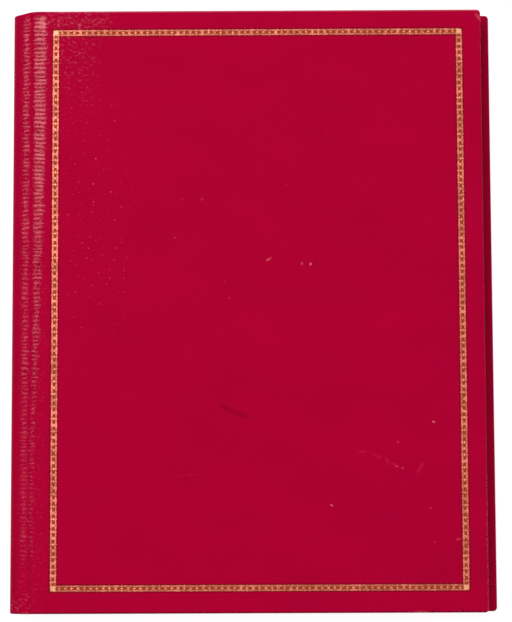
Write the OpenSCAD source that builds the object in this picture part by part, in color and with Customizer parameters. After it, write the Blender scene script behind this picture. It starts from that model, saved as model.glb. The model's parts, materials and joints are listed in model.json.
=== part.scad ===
// Writing case: a folding leather folio with pockets and a writing pad.
// It lies closed on its back cover: spine at -X, fore edge at +X, head at +Y, +Z up.
// The origin is the middle of its footprint, on the surface that it lies on.

/* [Writing pad] */
// Width of the paper
pad_w = 216; // [160:1:240]
// Height of the paper
pad_h = 279; // [210:1:320]
// Thickness of the block of paper
paper_t = 4; // [3:0.1:8]
// Thickness of the card under the paper
card_t = 0.8; // [0.5:0.1:1.5]
// Depth of the binding at the head of the pad
binding_h = 12; // [6:1:24]
// Thickness of the binding tape
tape_t = 0.3; // [0.2:0.05:0.6]

/* [Covers] */
// Thickness of the cover leather
leather_t = 0.8; // [0.5:0.1:1.2]
// Thickness of the cover boards
board_t = 1.8; // [1.2:0.1:2.6]
// Width of the leather turned in over the boards
turn_in = 9; // [6:0.5:14]
// Rounding of the covers' outer corners
corner_r = 2; // [1.5:0.5:8]
// How far the back cover reaches past the front one
back_reach = 5.6; // [0:0.1:8]
// Room from the pad's head to the head edge of the case
head_margin = 24; // [15:0.5:40]
// Room from the pad's foot to the foot edge of the case
foot_margin = 9; // [7:0.5:20]
// Room from the pad to the back cover's fore edge
fore_margin = 12; // [8:0.5:20]
// Room from the pad to the spine edge of the boards
gutter_margin = 9.5; // [7:0.5:20]
// Room between the contents of the two covers when closed
closing_gap = 0.5; // [0.3:0.1:3]

/* [Spine] */
// Slope of the leather beside a joint groove, in degrees
spine_slope = 20; // [15:1:24]
// Outer radius where the leather rolls over to the spine's back
shoulder_r = 4; // [2.5:0.25:5]
// Room between a joint's bend and the leather over the edge of its board
joint_room = 0.8; // [0.8:0.1:2]
// Depth of the groove along each joint
groove_d = 0.5; // [0.2:0.1:0.9]
// Width of the groove on the spine's side of the bend
groove_w = 2; // [1:0.25:3]
// Width of the gutter leather glued over each board
gutter_lap = 12; // [8:1:20]
// Running gap between the leather on the two sides of a bend
joint_gap = 0.2; // [0.1:0.05:0.4]

/* [Gilt border] */
// Width of the tooled band
border_w = 3.2; // [1.5:0.1:5]
// Thickness of the gilt
gilt_t = 0.08; // [0.05:0.01:0.2]
// From the spine's back to the middle of the band
border_spine = 22.5; // [16:0.1:30]
// From the front cover's fore edge to the middle of the band
border_fore = 11.4; // [6:0.1:20]
// From the head edge to the middle of the band
border_head = 11.7; // [6:0.1:20]
// From the foot edge to the middle of the band
border_foot = 12.8; // [6:0.1:20]
// Side of the corner stamps
corner_stamp = 3.8; // [2.6:0.1:6]

/* [Pockets] */
// Thickness of the pocket and sleeve leather
panel_t = 0.8; // [0.5:0.1:1.2]
// Rounding of the pocket corners
panel_r = 3; // [1:0.5:8]
// Width of the gussets along the pocket edges
gusset_w = 3; // [2:0.5:5]
// Margin of leather left around the pockets
panel_margin = 5.5; // [3:0.5:9]
// Height of the pocket for writing paper
letter_h = 221; // [190:1:240]
// Space inside the pocket for writing paper
letter_space = 1; // [0.6:0.1:2]
// Radius of the thumb notch in the mouth of a pocket
notch_r = 13; // [8:1:18]
// Height of the pocket for envelopes
envelope_h = 131; // [80:1:140]
// Space inside the pocket for envelopes
envelope_space = 0.8; // [0.6:0.1:2]
// Width of the pocket for stamps
stamp_w = 54; // [40:1:70]
// Height of the pocket for stamps
stamp_h = 40; // [30:1:44]
// Space inside the pocket for stamps
stamp_space = 0.6; // [0.4:0.1:1.2]
// From the mouth of the large pocket down to the mouth of the stamp pocket
stamp_drop = 18; // [15:1:25]
// From the fore edge of the large pocket to the stamp pocket
stamp_inset = 14; // [8:1:40]

/* [Pad sleeve] */
// Height of the sleeve that holds the pad's card
sleeve_h = 211; // [100:1:240]
// Clearance of the pad in its sleeve, on each side
slide_gap = 0.2; // [0.1:0.05:0.5]
// Clearance beside the card, out to the gusset
side_gap = 1; // [0.4:0.1:2]

/* [Pen loop] */
// Diameter of the slim pen that the loop holds
pen_d = 6; // [4.8:0.2:7]
// Room between the pen loop and the bends of the joints
pen_room = 1.6; // [0.8:0.1:3]
// Length of the loop along the spine
loop_l = 22; // [12:1:60]
// From the middle of the spine up to the middle of the loop
loop_y = 36; // [-80:1:80]

/* [Hidden] */
$fn = 64;

crimson = "#ab0132";
deep_crimson = "#8c0a2c";
lining_red = "#6e1428";
board_grey = "#9a8f7c";
gold = "#e0a070";
paper_white = "#f4efe2";

// The spine is as deep as the pen in its loop needs
laminate_t = 2 * leather_t;
loop_r = pen_d / 2 + leather_t;
spine_bulge = laminate_t + 2 * loop_r - leather_t / 2 + pen_room;
joint_w = leather_t + joint_room;

// Overall sizes, made up from the pad outwards
case_w = spine_bulge + joint_w + gutter_margin + pad_w + fore_margin;
case_h = foot_margin + pad_h + head_margin;
cover_t = 2 * leather_t + board_t;
sleeve_space = card_t + 2 * slide_gap;
pad_stack = sleeve_space + panel_t + slide_gap + paper_t + tape_t;
pocket_stack = letter_space + panel_t + max(envelope_space, stamp_space) + panel_t;
case_t = 2 * cover_t + pad_stack + closing_gap + pocket_stack;

// Places along X, measured from the bend of the joints
hinge_x = spine_bulge - case_w / 2;
back_l = case_w - spine_bulge;
front_l = back_l - back_reach;

// Bends of the spine: the leather turns by spine_slope at a groove and by the rest at a shoulder
shoulder_turn = 90 - spine_slope;
spine_drop = spine_bulge * tan(spine_slope);
shoulder_z = spine_drop + shoulder_r * tan(shoulder_turn / 2);
shoulder_x = shoulder_r - spine_bulge;
shoulder_steps = 14;
reach = 4 * case_t;

// The pad and its sleeve, in the back cover's own place
pad_x = joint_w + gutter_margin;
pad_y = foot_margin - case_h / 2;
sleeve_x = pad_x - side_gap - gusset_w;
sleeve_y = pad_y - side_gap - gusset_w;
sleeve_w = pad_w + 2 * (side_gap + gusset_w);
card_z = cover_t + slide_gap;
sleeve_z = cover_t + sleeve_space;
paper_z = sleeve_z + panel_t + slide_gap;

// The pockets, in the front cover's own place
pocket_x = joint_w + panel_margin;
pocket_y = sleeve_y;
pocket_w = front_l - panel_margin - pocket_x;
letter_z = cover_t + letter_space;
stamp_x = pocket_x + pocket_w - stamp_inset - stamp_w;
stamp_y = pocket_y + letter_h - stamp_drop - stamp_h;

// The pen loop, seated on the inside of the spine
loop_seat = laminate_t - spine_bulge;
loop_x = loop_seat + loop_r - leather_t / 2;

// Children drawn in X and Z, run along Y about y = 0
module along_y(length) {
    rotate([90, 0, 0]) linear_extrude(length, center = true) children();
}

// Children drawn from the back cover's bend, put in their place
module at_back() {
    translate([hinge_x, 0, 0]) children();
}

// The same, turned face down over the front cover
module at_front() {
    translate([hinge_x, 0, case_t]) mirror([0, 0, 1]) children();
}

// Flat sheet with all four corners rounded
module sheet(x, y, w, h, r) {
    translate([x + r, y]) square([w - 2 * r, h]);
    translate([x, y + r]) square([w, h - 2 * r]);
    for (cx = [x + r, x + w - r], cy = [y + r, y + h - r])
        translate([cx, cy]) circle(r);
}

// Flat outline of a cover from x = start, with its two fore corners rounded
module cover_outline(start, end, half_h, r) {
    translate([start, -half_h]) square([end - r - start, 2 * half_h]);
    translate([start, r - half_h]) square([end - start, 2 * (half_h - r)]);
    for (side = [-1, 1])
        translate([end - r, side * (half_h - r)]) circle(r);
}

// How far a cover's leather stops from x = 0, at depth z under its outer face
function bend_x(z) = z * tan(spine_slope / 2) + joint_gap / 2 / cos(spine_slope / 2);

// Section of the cover leather between the bend and the board
module flap_section() {
    polygon([[bend_x(groove_d), groove_d], [joint_w, 0], [joint_w, leather_t],
             [bend_x(groove_d + leather_t), groove_d + leather_t]]);
}

// Section of the inner layer: along the flap, up the board's edge and over it by lap
module gutter_section(lap) {
    wall_x = joint_w - leather_t;
    wall_z = laminate_t + groove_d * leather_t / joint_w;
    polygon([[bend_x(groove_d + leather_t), groove_d + leather_t], [joint_w, leather_t],
             [joint_w, leather_t + board_t], [joint_w + lap, leather_t + board_t],
             [joint_w + lap, cover_t], [wall_x, cover_t], [wall_x, wall_z],
             [bend_x(groove_d + laminate_t), groove_d + laminate_t]]);
}

// The two ends of the case, over which the leather is turned in
module turned_ends() {
    for (side = [-1, 1])
        translate([0, side * (case_h - turn_in) / 2, 0]) along_y(turn_in) children();
}

// Cover leather of length l: outer skin, wrapped edges and turned-in border in one piece
module cover_leather(l) {
    difference() {
        linear_extrude(cover_t) cover_outline(joint_w, l, case_h / 2, corner_r);
        translate([0, 0, leather_t])
            linear_extrude(board_t) cover_outline(0, l - leather_t, case_h / 2 - leather_t,
                                                  corner_r - leather_t);
        translate([0, turn_in - case_h / 2, leather_t])
            cube([l - turn_in, case_h - 2 * turn_in, cover_t]);
    }
    along_y(case_h) flap_section();
    turned_ends() gutter_section(turn_in);
}

// Board under the leather of a cover of length l
module cover_board(l) {
    translate([0, 0, leather_t])
        linear_extrude(board_t) cover_outline(joint_w, l - leather_t, case_h / 2 - leather_t,
                                              corner_r - leather_t);
}

// Lining panel, flush with the turned-in border
module cover_lining(l) {
    lap_x = joint_w + gutter_lap;
    translate([lap_x, turn_in - case_h / 2, leather_t + board_t])
        cube([l - turn_in - lap_x, case_h - 2 * turn_in, leather_t]);
}

// Gutter leather on a cover
module cover_gutter() {
    along_y(case_h - 2 * turn_in) gutter_section(gutter_lap);
}

// Solid section inside the spine's outer face moved in by depth
module spine_area(depth) {
    groove = [[0, groove_d + depth],
              [depth * sin(spine_slope) - groove_w * cos(spine_slope),
               depth * cos(spine_slope) + groove_w * sin(spine_slope)]];
    shoulder = [for (i = [0 : shoulder_steps])
                let (angle = 180 + shoulder_turn * (1 - i / shoulder_steps))
                [shoulder_x + (shoulder_r - depth) * cos(angle),
                 shoulder_z + (shoulder_r - depth) * sin(angle)]];
    lower = concat(groove, shoulder);
    upper = [for (i = [len(lower) - 1 : -1 : 0]) [lower[i][0], case_t - lower[i][1]]];
    polygon(concat(lower, upper));
}

// Section of one layer of leather round the spine
module spine_layer(outer, inner) {
    difference() {
        spine_area(outer);
        spine_area(inner);
    }
}

// Everything to the left of a line from (x, z) at an angle, less half the running gap
module left_of(x, z, angle) {
    translate([x, z]) rotate(angle)
        translate([-reach, joint_gap / 2]) square([2 * reach, reach]);
}

// The spine's sections are parted at its bends
module back_joint_part() {
    intersection() {
        children();
        left_of(0, 0, 90 - spine_slope / 2);
        left_of(-spine_bulge, spine_drop, 180 + shoulder_turn / 2);
    }
}

module spine_part() {
    intersection() {
        children();
        left_of(-spine_bulge, spine_drop, shoulder_turn / 2);
        left_of(-spine_bulge, case_t - spine_drop, 180 - shoulder_turn / 2);
    }
}

module front_joint_part() {
    intersection() {
        children();
        left_of(-spine_bulge, case_t - spine_drop, -shoulder_turn / 2);
        left_of(0, case_t, 90 + spine_slope / 2);
    }
}

// Outer layer over the whole height, and the inner layer where it is turned in
module outer_layer() {
    spine_layer(0, leather_t);
}

module inner_layer() {
    spine_layer(leather_t, laminate_t);
}

// Gusset round the foot and the two sides of a pocket
module pocket_gusset(x, y, z, w, h, space) {
    translate([0, 0, z]) linear_extrude(space) difference() {
        sheet(x, y, w, h, panel_r);
        translate([x + gusset_w, y + gusset_w]) square([w - 2 * gusset_w, h]);
    }
}

// Face of a pocket, with a thumb notch of radius notch in its mouth
module pocket_face(x, y, z, w, h, notch) {
    translate([0, 0, z]) linear_extrude(panel_t) difference() {
        sheet(x, y, w, h, panel_r);
        if (notch > 0) translate([x + w / 2, y + h]) circle(notch);
    }
}

module back_leather() {
    color(crimson) at_back() cover_leather(back_l);
}

module back_board() {
    color(board_grey) at_back() cover_board(back_l);
}

module back_lining() {
    color(lining_red) at_back() cover_lining(back_l);
}

module back_gutter() {
    color(deep_crimson) at_back() cover_gutter();
}

module back_joint_leather() {
    color(crimson) at_back() {
        along_y(case_h) back_joint_part() outer_layer();
        turned_ends() back_joint_part() inner_layer();
    }
}

module back_joint_gutter() {
    color(deep_crimson) at_back()
        along_y(case_h - 2 * turn_in) back_joint_part() inner_layer();
}

module spine_leather() {
    color(crimson) at_back() {
        along_y(case_h) spine_part() outer_layer();
        turned_ends() spine_part() inner_layer();
    }
}

module spine_gutter() {
    color(deep_crimson) at_back()
        along_y(case_h - 2 * turn_in) spine_part() inner_layer();
}

module front_joint_leather() {
    color(crimson) at_back() {
        along_y(case_h) front_joint_part() outer_layer();
        turned_ends() front_joint_part() inner_layer();
    }
}

module front_joint_gutter() {
    color(deep_crimson) at_back()
        along_y(case_h - 2 * turn_in) front_joint_part() inner_layer();
}

module front_leather() {
    color(crimson) at_front() cover_leather(front_l);
}

module front_board() {
    color(board_grey) at_front() cover_board(front_l);
}

module front_lining() {
    color(lining_red) at_front() cover_lining(front_l);
}

module front_gutter() {
    color(deep_crimson) at_front() cover_gutter();
}

module gilt_border() {
    x0 = border_spine - case_w / 2;
    x1 = hinge_x + front_l - border_fore;
    y0 = border_foot - case_h / 2;
    y1 = case_h / 2 - border_head;
    half = border_w / 2;
    color(gold) translate([0, 0, case_t]) linear_extrude(gilt_t) {
        difference() {
            translate([x0 - half, y0 - half]) square([x1 - x0 + border_w, y1 - y0 + border_w]);
            translate([x0 + half, y0 + half]) square([x1 - x0 - border_w, y1 - y0 - border_w]);
        }
        for (x = [x0, x1], y = [y0, y1])
            translate([x, y]) square(corner_stamp, center = true);
    }
}

module letter_gusset() {
    color(deep_crimson) at_front()
        pocket_gusset(pocket_x, pocket_y, cover_t, pocket_w, letter_h, letter_space);
}

module letter_pocket() {
    color(crimson) at_front()
        pocket_face(pocket_x, pocket_y, letter_z, pocket_w, letter_h, notch_r);
}

module envelope_gusset() {
    color(deep_crimson) at_front()
        pocket_gusset(pocket_x, pocket_y, letter_z + panel_t, pocket_w, envelope_h,
                      envelope_space);
}

module envelope_pocket() {
    color(crimson) at_front()
        pocket_face(pocket_x, pocket_y, letter_z + panel_t + envelope_space, pocket_w,
                    envelope_h, notch_r);
}

module stamp_gusset() {
    color(deep_crimson) at_front()
        pocket_gusset(stamp_x, stamp_y, letter_z + panel_t, stamp_w, stamp_h, stamp_space);
}

module stamp_pocket() {
    color(crimson) at_front()
        pocket_face(stamp_x, stamp_y, letter_z + panel_t + stamp_space, stamp_w, stamp_h, 0);
}

// A ring of leather, flat where it is sewn to the spine
module pen_loop() {
    color(deep_crimson) at_back() translate([0, loop_y, 0]) along_y(loop_l) difference() {
        intersection() {
            translate([loop_x, case_t / 2]) circle(loop_r);
            translate([loop_seat, 0]) square([reach, case_t]);
        }
        intersection() {
            translate([loop_x, case_t / 2]) circle(pen_d / 2);
            translate([loop_seat + leather_t, 0]) square([reach, case_t]);
        }
    }
}

module sleeve_gusset() {
    color(deep_crimson) at_back()
        pocket_gusset(sleeve_x, sleeve_y, cover_t, sleeve_w, sleeve_h, sleeve_space);
}

module pad_sleeve() {
    color(crimson) at_back()
        pocket_face(sleeve_x, sleeve_y, sleeve_z, sleeve_w, sleeve_h, 0);
}

module pad_card() {
    color(board_grey) at_back() translate([pad_x, pad_y, card_z]) cube([pad_w, pad_h, card_t]);
}

module pad_paper() {
    color(paper_white) at_back()
        translate([pad_x, pad_y, paper_z]) cube([pad_w, pad_h, paper_t]);
}

// Glue between paper and card, with the tape over the head and the top sheet
module pad_binding() {
    head_y = pad_y + pad_h;
    glue_y = head_y - binding_h;
    paper_top = paper_z + paper_t;
    color(deep_crimson) at_back() translate([pad_x, 0, 0]) rotate([90, 0, 90])
        linear_extrude(pad_w)
            polygon([[glue_y, card_z + card_t], [head_y, card_z + card_t], [head_y, card_z],
                     [head_y + tape_t, card_z], [head_y + tape_t, paper_top + tape_t],
                     [glue_y, paper_top + tape_t], [glue_y, paper_top],
                     [head_y, paper_top], [head_y, paper_z], [glue_y, paper_z]]);
}

back_leather();
back_board();
back_lining();
back_gutter();
back_joint_leather();
back_joint_gutter();
spine_leather();
spine_gutter();
front_joint_leather();
front_joint_gutter();
front_leather();
front_board();
front_lining();
front_gutter();
gilt_border();
letter_gusset();
letter_pocket();
envelope_gusset();
envelope_pocket();
stamp_gusset();
stamp_pocket();
pen_loop();
sleeve_gusset();
pad_sleeve();
pad_card();
pad_paper();
pad_binding();
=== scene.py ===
"""Finished surfaces of a leather writing case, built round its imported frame."""
import json
import math
from typing import NamedTuple

import bmesh
import bpy
from bpy.props import FloatProperty, FloatVectorProperty, IntProperty, PointerProperty
from bpy.types import Operator, Panel, PropertyGroup
from mathutils import Euler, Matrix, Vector, noise


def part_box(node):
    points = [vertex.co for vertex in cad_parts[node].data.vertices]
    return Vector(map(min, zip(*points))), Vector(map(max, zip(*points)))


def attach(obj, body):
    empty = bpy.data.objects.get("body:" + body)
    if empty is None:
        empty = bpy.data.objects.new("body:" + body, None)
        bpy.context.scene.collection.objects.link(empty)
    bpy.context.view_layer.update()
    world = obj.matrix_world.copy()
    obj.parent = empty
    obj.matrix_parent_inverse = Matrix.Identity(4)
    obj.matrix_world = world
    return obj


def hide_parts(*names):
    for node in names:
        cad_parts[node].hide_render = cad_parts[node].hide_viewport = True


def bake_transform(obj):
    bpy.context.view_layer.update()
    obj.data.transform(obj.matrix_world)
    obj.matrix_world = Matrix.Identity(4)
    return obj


bl_info = {
    "name": "Writing case",
    "version": (1, 0, 0),
    "blender": (4, 5, 0),
    "location": "View3D > Sidebar > Writing Case",
    "description": "Builds the finished surfaces of a folding leather writing case",
    "category": "Object",
}

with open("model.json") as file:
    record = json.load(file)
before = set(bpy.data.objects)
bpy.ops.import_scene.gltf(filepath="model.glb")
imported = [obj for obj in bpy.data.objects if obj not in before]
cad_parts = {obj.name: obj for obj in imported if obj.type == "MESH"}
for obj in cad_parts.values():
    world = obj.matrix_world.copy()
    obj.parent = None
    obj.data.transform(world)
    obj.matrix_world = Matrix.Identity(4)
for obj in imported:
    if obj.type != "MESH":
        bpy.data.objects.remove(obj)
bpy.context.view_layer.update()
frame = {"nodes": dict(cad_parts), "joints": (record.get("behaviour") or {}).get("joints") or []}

# Everything is in metres
MM = 0.001


def bend_place(joint):
    """Where a joint's axis crosses the case's section."""
    return Vector(next(j for j in frame["joints"] if j["name"] == joint)["pos_m"])


# The bends in the case's section: the groove beside a cover and the shoulder beside the spine
GROOVE = bend_place("back_groove_bend")
SHOULDER = bend_place("back_shoulder_bend")
HINGE_X = GROOVE.x
SPINE_X = SHOULDER.x
BULGE = HINGE_X - SPINE_X
SLOPE = math.atan2(SHOULDER.z, BULGE)
ROLL_TURN = math.pi / 2 - SLOPE
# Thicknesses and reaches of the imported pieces
CASE_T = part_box("front_leather")[1].z
HALF_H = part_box("back_leather")[1].y
COVER_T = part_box("back_leather")[1].z
LEATHER_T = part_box("back_board")[0].z
LAMINATE_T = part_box("pen_loop")[0].x - SPINE_X
TURN_IN = HALF_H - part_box("back_lining")[1].y
LAP_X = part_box("back_gutter")[1].x - HINGE_X
LAP_SKIVE = 0.6 * MM
FORE = {"back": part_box("back_leather")[1].x - HINGE_X,
        "front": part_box("front_leather")[1].x - HINGE_X}
# Where the shoulder's leather meets the cover's, and the ends of the groove, from the bend
SEAM_X = -4.5 * MM
GROOVE_SIDE, GROOVE_END = 2.4 * MM, 2.6 * MM
# How far the even grid of a cover stops short of its edges
GRID_INSET = 2 * MM
CORNER_STAMP = 3.8 * MM
# How far the foot of a gilt motif lies under the pressed leather
SUNK = 0.03 * MM
# How far the walls of the pressed channel reach in and out from the edges of the band
WALL_IN, WALL_OUT = 0.1 * MM, 0.6 * MM
# From point to point: within the band's frame, over the back cover, and from the groove on
FIELD_STEP, BACK_STEP, NEAR_STEP = 2.2 * MM, 2.5 * MM, 0.8 * MM


def band_lines():
    """Left, right, foot and head centre lines of the gilt band."""
    low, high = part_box("gilt_border")
    half = CORNER_STAMP / 2
    return low.x + half, high.x - half, low.y + half, high.y - half


BAND_LEFT, BAND_RIGHT, BAND_FOOT, BAND_HEAD = band_lines()


class HideSettings(PropertyGroup):
    """The cover leather."""
    colour: FloatVectorProperty(
        name="Crimson", description="Colour of the cover leather", subtype="COLOR",
        default=(0.42, 0.0006, 0.031))
    # Also the colour of the painted highlight along the head edge of the front cover
    worn: FloatVectorProperty(
        name="Worn", description="Colour of the leather where its finish has rubbed away",
        subtype="COLOR", default=(0.80, 0.20, 0.235))
    shoulder_r: FloatProperty(
        name="Shoulder radius", description="Outer radius where the hide rolls over the spine",
        default=4 * MM, unit="LENGTH")
    edge_r: FloatProperty(
        name="Edge radius", description="Rounding of the leather over the edges of the boards",
        default=1.1 * MM, unit="LENGTH")
    groove_d: FloatProperty(
        name="Groove depth", description="Depth of the groove along each joint",
        default=0.5 * MM, unit="LENGTH")
    groove_w: FloatProperty(
        name="Groove width", description="Half width of the groove along each joint",
        default=0.95 * MM, unit="LENGTH")
    cap_dip: FloatProperty(
        name="Cap dip", description="How far the leather at the head of the spine is drawn in",
        default=1.4 * MM, unit="LENGTH")
    fold_pitch: FloatProperty(
        name="Fold pitch", description="Millimetres from one worn fold to the next",
        default=2.1)
    ease: FloatProperty(
        name="Ease", description="Softness of the turn from the cover to the spine",
        default=0.9 * MM, unit="LENGTH")


class GiltSettings(PropertyGroup):
    """The tooled gilt band."""
    colour: FloatVectorProperty(
        name="Gilt", description="Colour of the gold leaf", subtype="COLOR",
        default=(0.72, 0.195, 0.137))
    rubbed: FloatVectorProperty(
        name="Rubbed gilt", description="Colour of the gold leaf where it is rubbed",
        subtype="COLOR", default=(0.37, 0.07, 0.038))
    bright: FloatVectorProperty(
        name="Bright gilt", description="Colour of the gold leaf where it was stamped twice",
        subtype="COLOR", default=(0.90, 0.44, 0.23))
    shiny: FloatVectorProperty(
        name="Fresh gilt", description="Colour of the gold leaf in its brightest spots",
        subtype="COLOR", default=(0.90, 0.25, 0.17))
    period: FloatProperty(
        name="Period", description="Length of one repeat of the roll", default=6.4 * MM,
        unit="LENGTH")
    width: FloatProperty(
        name="Width", description="Width of the tooled band", default=3.5 * MM,
        unit="LENGTH")
    press: FloatProperty(
        name="Press", description="How deep the tool pressed the leather",
        default=0.14 * MM, unit="LENGTH")
    relief: FloatProperty(
        name="Relief", description="Height of the pattern over the pressed ground",
        default=0.1 * MM, unit="LENGTH")


class PanelSettings(PropertyGroup):
    """Pockets, sleeve, gutter and their stitches."""
    colour: FloatVectorProperty(
        name="Inner leather", description="Colour of the leather inside the case",
        subtype="COLOR", default=(0.20, 0.002, 0.017))
    edge_r: FloatProperty(
        name="Edge radius", description="Rounding of the edges of pockets and sleeve",
        default=0.32 * MM, unit="LENGTH")
    corner_r: FloatProperty(
        name="Corner radius", description="Rounding of the corners of pockets and sleeve",
        default=3.4 * MM, unit="LENGTH")
    notch_r: FloatProperty(
        name="Notch radius", description="Radius of the thumb notches", default=13 * MM,
        unit="LENGTH")
    crease: FloatProperty(
        name="Crease", description="From the edge of a panel to its creased line",
        default=1.7 * MM, unit="LENGTH")
    crease_d: FloatProperty(
        name="Crease depth", description="Depth of the creased line", default=0.2 * MM,
        unit="LENGTH")
    thread_colour: FloatVectorProperty(
        name="Thread colour", description="Colour of the stitches", subtype="COLOR",
        default=(0.56, 0.08, 0.10))
    thread_d: FloatProperty(
        name="Thread thickness", description="Thickness of the thread", default=0.42 * MM,
        unit="LENGTH")
    pitch: FloatProperty(
        name="Stitch pitch", description="From one stitch to the next", default=2.8 * MM,
        unit="LENGTH")


class LiningSettings(PropertyGroup):
    """The watered silk inside the covers."""
    colour: FloatVectorProperty(
        name="Silk", description="Colour of the watered silk", subtype="COLOR",
        default=(0.21, 0.005, 0.022))
    pale: FloatVectorProperty(
        name="Watered silk", description="Colour of its watered figure", subtype="COLOR",
        default=(0.40, 0.03, 0.065))
    overlap: FloatProperty(
        name="Overlap", description="How far the silk laps over the turned-in leather",
        default=2 * MM, unit="LENGTH")


class PadSettings(PropertyGroup):
    """The writing pad."""
    paper: FloatVectorProperty(
        name="Paper", description="Colour of the writing paper", subtype="COLOR",
        default=(0.88, 0.83, 0.72))
    sheets: IntProperty(
        name="Sheets", description="Number of sheets in the block", default=40, min=10,
        max=100)
    cloth: FloatVectorProperty(
        name="Book cloth", description="Colour of the binding tape", subtype="COLOR",
        default=(0.16, 0.006, 0.018))
    card: FloatVectorProperty(
        name="Card", description="Colour of the card and the boards", subtype="COLOR",
        default=(0.36, 0.30, 0.22))


class StageSettings(PropertyGroup):
    """Camera, floor and lights."""
    target: FloatVectorProperty(
        name="Target", description="Point that the camera looks at",
        default=(1.48 * MM, -1.87 * MM, 17.2 * MM), subtype="TRANSLATION")
    distance: FloatProperty(
        name="Distance", description="From the camera to its target",
        default=1056.2 * MM, unit="LENGTH")
    turn: FloatVectorProperty(
        name="Turn", description="Camera rotation about X, Y and Z", subtype="EULER",
        default=(0.09975, 0.00466, -0.003957))
    lens: FloatProperty(
        name="Lens", description="Focal length in millimetres on a 36 mm long side",
        default=118.81)
    fill: FloatProperty(
        name="Fill", description="Brightness of the plain surroundings", default=0.62)
    lift: FloatProperty(
        name="Lift", description="Brightness that the seen floor is lifted towards",
        default=1.25)
    lift_share: FloatProperty(
        name="Lift share", description="How much of the seen floor's look is that brightness",
        default=0.68, min=0.0, max=1.0)
    key: FloatProperty(
        name="Key", description="Power of the soft lamp in watts", default=17.0)


class CaseSettings(PropertyGroup):
    """All that can be changed on the writing case."""
    hide: PointerProperty(type=HideSettings)
    gilt: PointerProperty(type=GiltSettings)
    panel: PointerProperty(type=PanelSettings)
    lining: PointerProperty(type=LiningSettings)
    pad: PointerProperty(type=PadSettings)
    stage: PointerProperty(type=StageSettings)


class Value:
    """A number that flows between shader nodes, so that masks read as arithmetic."""

    def __init__(self, finish, socket):
        self.finish = finish
        self.socket = socket

    def __add__(self, other):
        return self.finish.maths("ADD", self, other)

    def __sub__(self, other):
        return self.finish.maths("SUBTRACT", self, other)

    def __rsub__(self, other):
        return self.finish.maths("SUBTRACT", other, self)

    def __mul__(self, other):
        return self.finish.maths("MULTIPLY", self, other)

    __radd__ = __add__
    __rmul__ = __mul__

    def out(self, name):
        """Another output of the node that this value comes from."""
        return Value(self.finish, self.socket.node.outputs[name])


class Finish:
    """A material, or the world, whose nodes are made one expression at a time."""

    def __init__(self, name, kind="materials"):
        self.made = getattr(bpy.data, kind).new(name)
        self.made.use_nodes = True
        self.tree = self.made.node_tree
        self.tree.nodes.clear()

    def node(self, kind, settings=None, inputs=None):
        """A node with its settings made and its sockets given values or links."""
        node = self.tree.nodes.new(kind)
        for key, setting in (settings or {}).items():
            setattr(node, key, setting)
        for key, given in (inputs or {}).items():
            if isinstance(key, int):
                socket = node.inputs[key]
            else:
                socket = next(s for s in node.inputs if s.name == key and s.enabled)
            if isinstance(given, Value):
                self.tree.links.new(given.socket, socket)
            else:
                socket.default_value = given
        return Value(self, next((s for s in node.outputs if s.enabled), None))

    def maths(self, operation, *values):
        return self.node("ShaderNodeMath", {"operation": operation}, dict(enumerate(values)))

    def between(self, value, low, high):
        """0 where value is below low, 1 above high, and smooth in between."""
        return self.node("ShaderNodeMapRange", {"interpolation_type": "SMOOTHSTEP"},
                         {"Value": value, "From Min": low, "From Max": high})

    def peak(self, value, low, high, soft):
        """1 between low and high, falling to 0 over soft on both sides."""
        return self.between(value, low - soft, low) * (1 - self.between(value, high, high + soft))

    def mix(self, factor, first, second):
        return self.node("ShaderNodeMix", {"data_type": "RGBA"},
                         {"Factor": factor, "A": colour(first), "B": colour(second)})

    def flat_hide(self):
        """Place on the flat hide in millimetres, kept in the mesh."""
        return self.node("ShaderNodeAttribute", {"attribute_name": "hide"}).out("Vector")

    def object_mm(self):
        """Object coordinates in millimetres."""
        place = self.node("ShaderNodeTexCoord").out("Object")
        return self.scaled(place, (1 / MM, 1 / MM, 1 / MM))

    def mesh_value(self, name):
        """A number kept in the mesh."""
        return self.node("ShaderNodeAttribute", {"attribute_name": name}).out("Fac")

    def scaled(self, vector, factors):
        return self.node("ShaderNodeVectorMath", {"operation": "MULTIPLY"},
                         {0: vector, 1: factors})

    def noise(self, place, factors, detail=2.0, rough=0.5, distortion=0.0):
        """Soft noise from 0 to 1, with factors its cycles per millimetre along each axis."""
        return self.node("ShaderNodeTexNoise", None,
                         {"Vector": self.scaled(place, factors), "Scale": 1.0,
                          "Detail": detail, "Roughness": rough, "Distortion": distortion})

    def wave(self, value, period, shift=None):
        """A ripple from 0 to 1 along value, a period long, its crests moved by shift."""
        turns = value * (2 * math.pi / period)
        return self.maths("SINE", turns if shift is None else turns + shift) * 0.5 + 0.5

    def axes(self, vector):
        split = self.node("ShaderNodeSeparateXYZ", None, {0: vector})
        return split.out("X"), split.out("Y"), split.out("Z")

    def surface(self, base, roughness, height, constants=None, metallic=None):
        """The shader, with height in millimetres as its bump."""
        bump = self.node("ShaderNodeBump", None,
                         {"Height": height, "Distance": MM, "Strength": 1.0})
        inputs = {"Base Color": colour(base), "Roughness": roughness, "Normal": bump}
        if metallic is not None:
            inputs["Metallic"] = metallic
        shader = self.node("ShaderNodeBsdfPrincipled", None, {**inputs, **(constants or {})})
        self.node("ShaderNodeOutputMaterial", None, {"Surface": shader})
        return self.made

    def seen_directly(self):
        """1 for what the camera sees, also in a mirror or through glass, and 0 for light."""
        path = self.node("ShaderNodeLightPath")
        seen = self.maths("MAXIMUM", path.out("Is Camera Ray"), path.out("Is Glossy Ray"))
        return self.maths("MAXIMUM", seen, path.out("Is Transmission Ray"))


def colour(given):
    """A colour as four numbers, or a link as it is."""
    return given if isinstance(given, Value) else (*given[:3], 1.0)


def shade(given, factor):
    """A colour made darker or lighter by factor."""
    return tuple(channel * factor for channel in given[:3])


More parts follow.
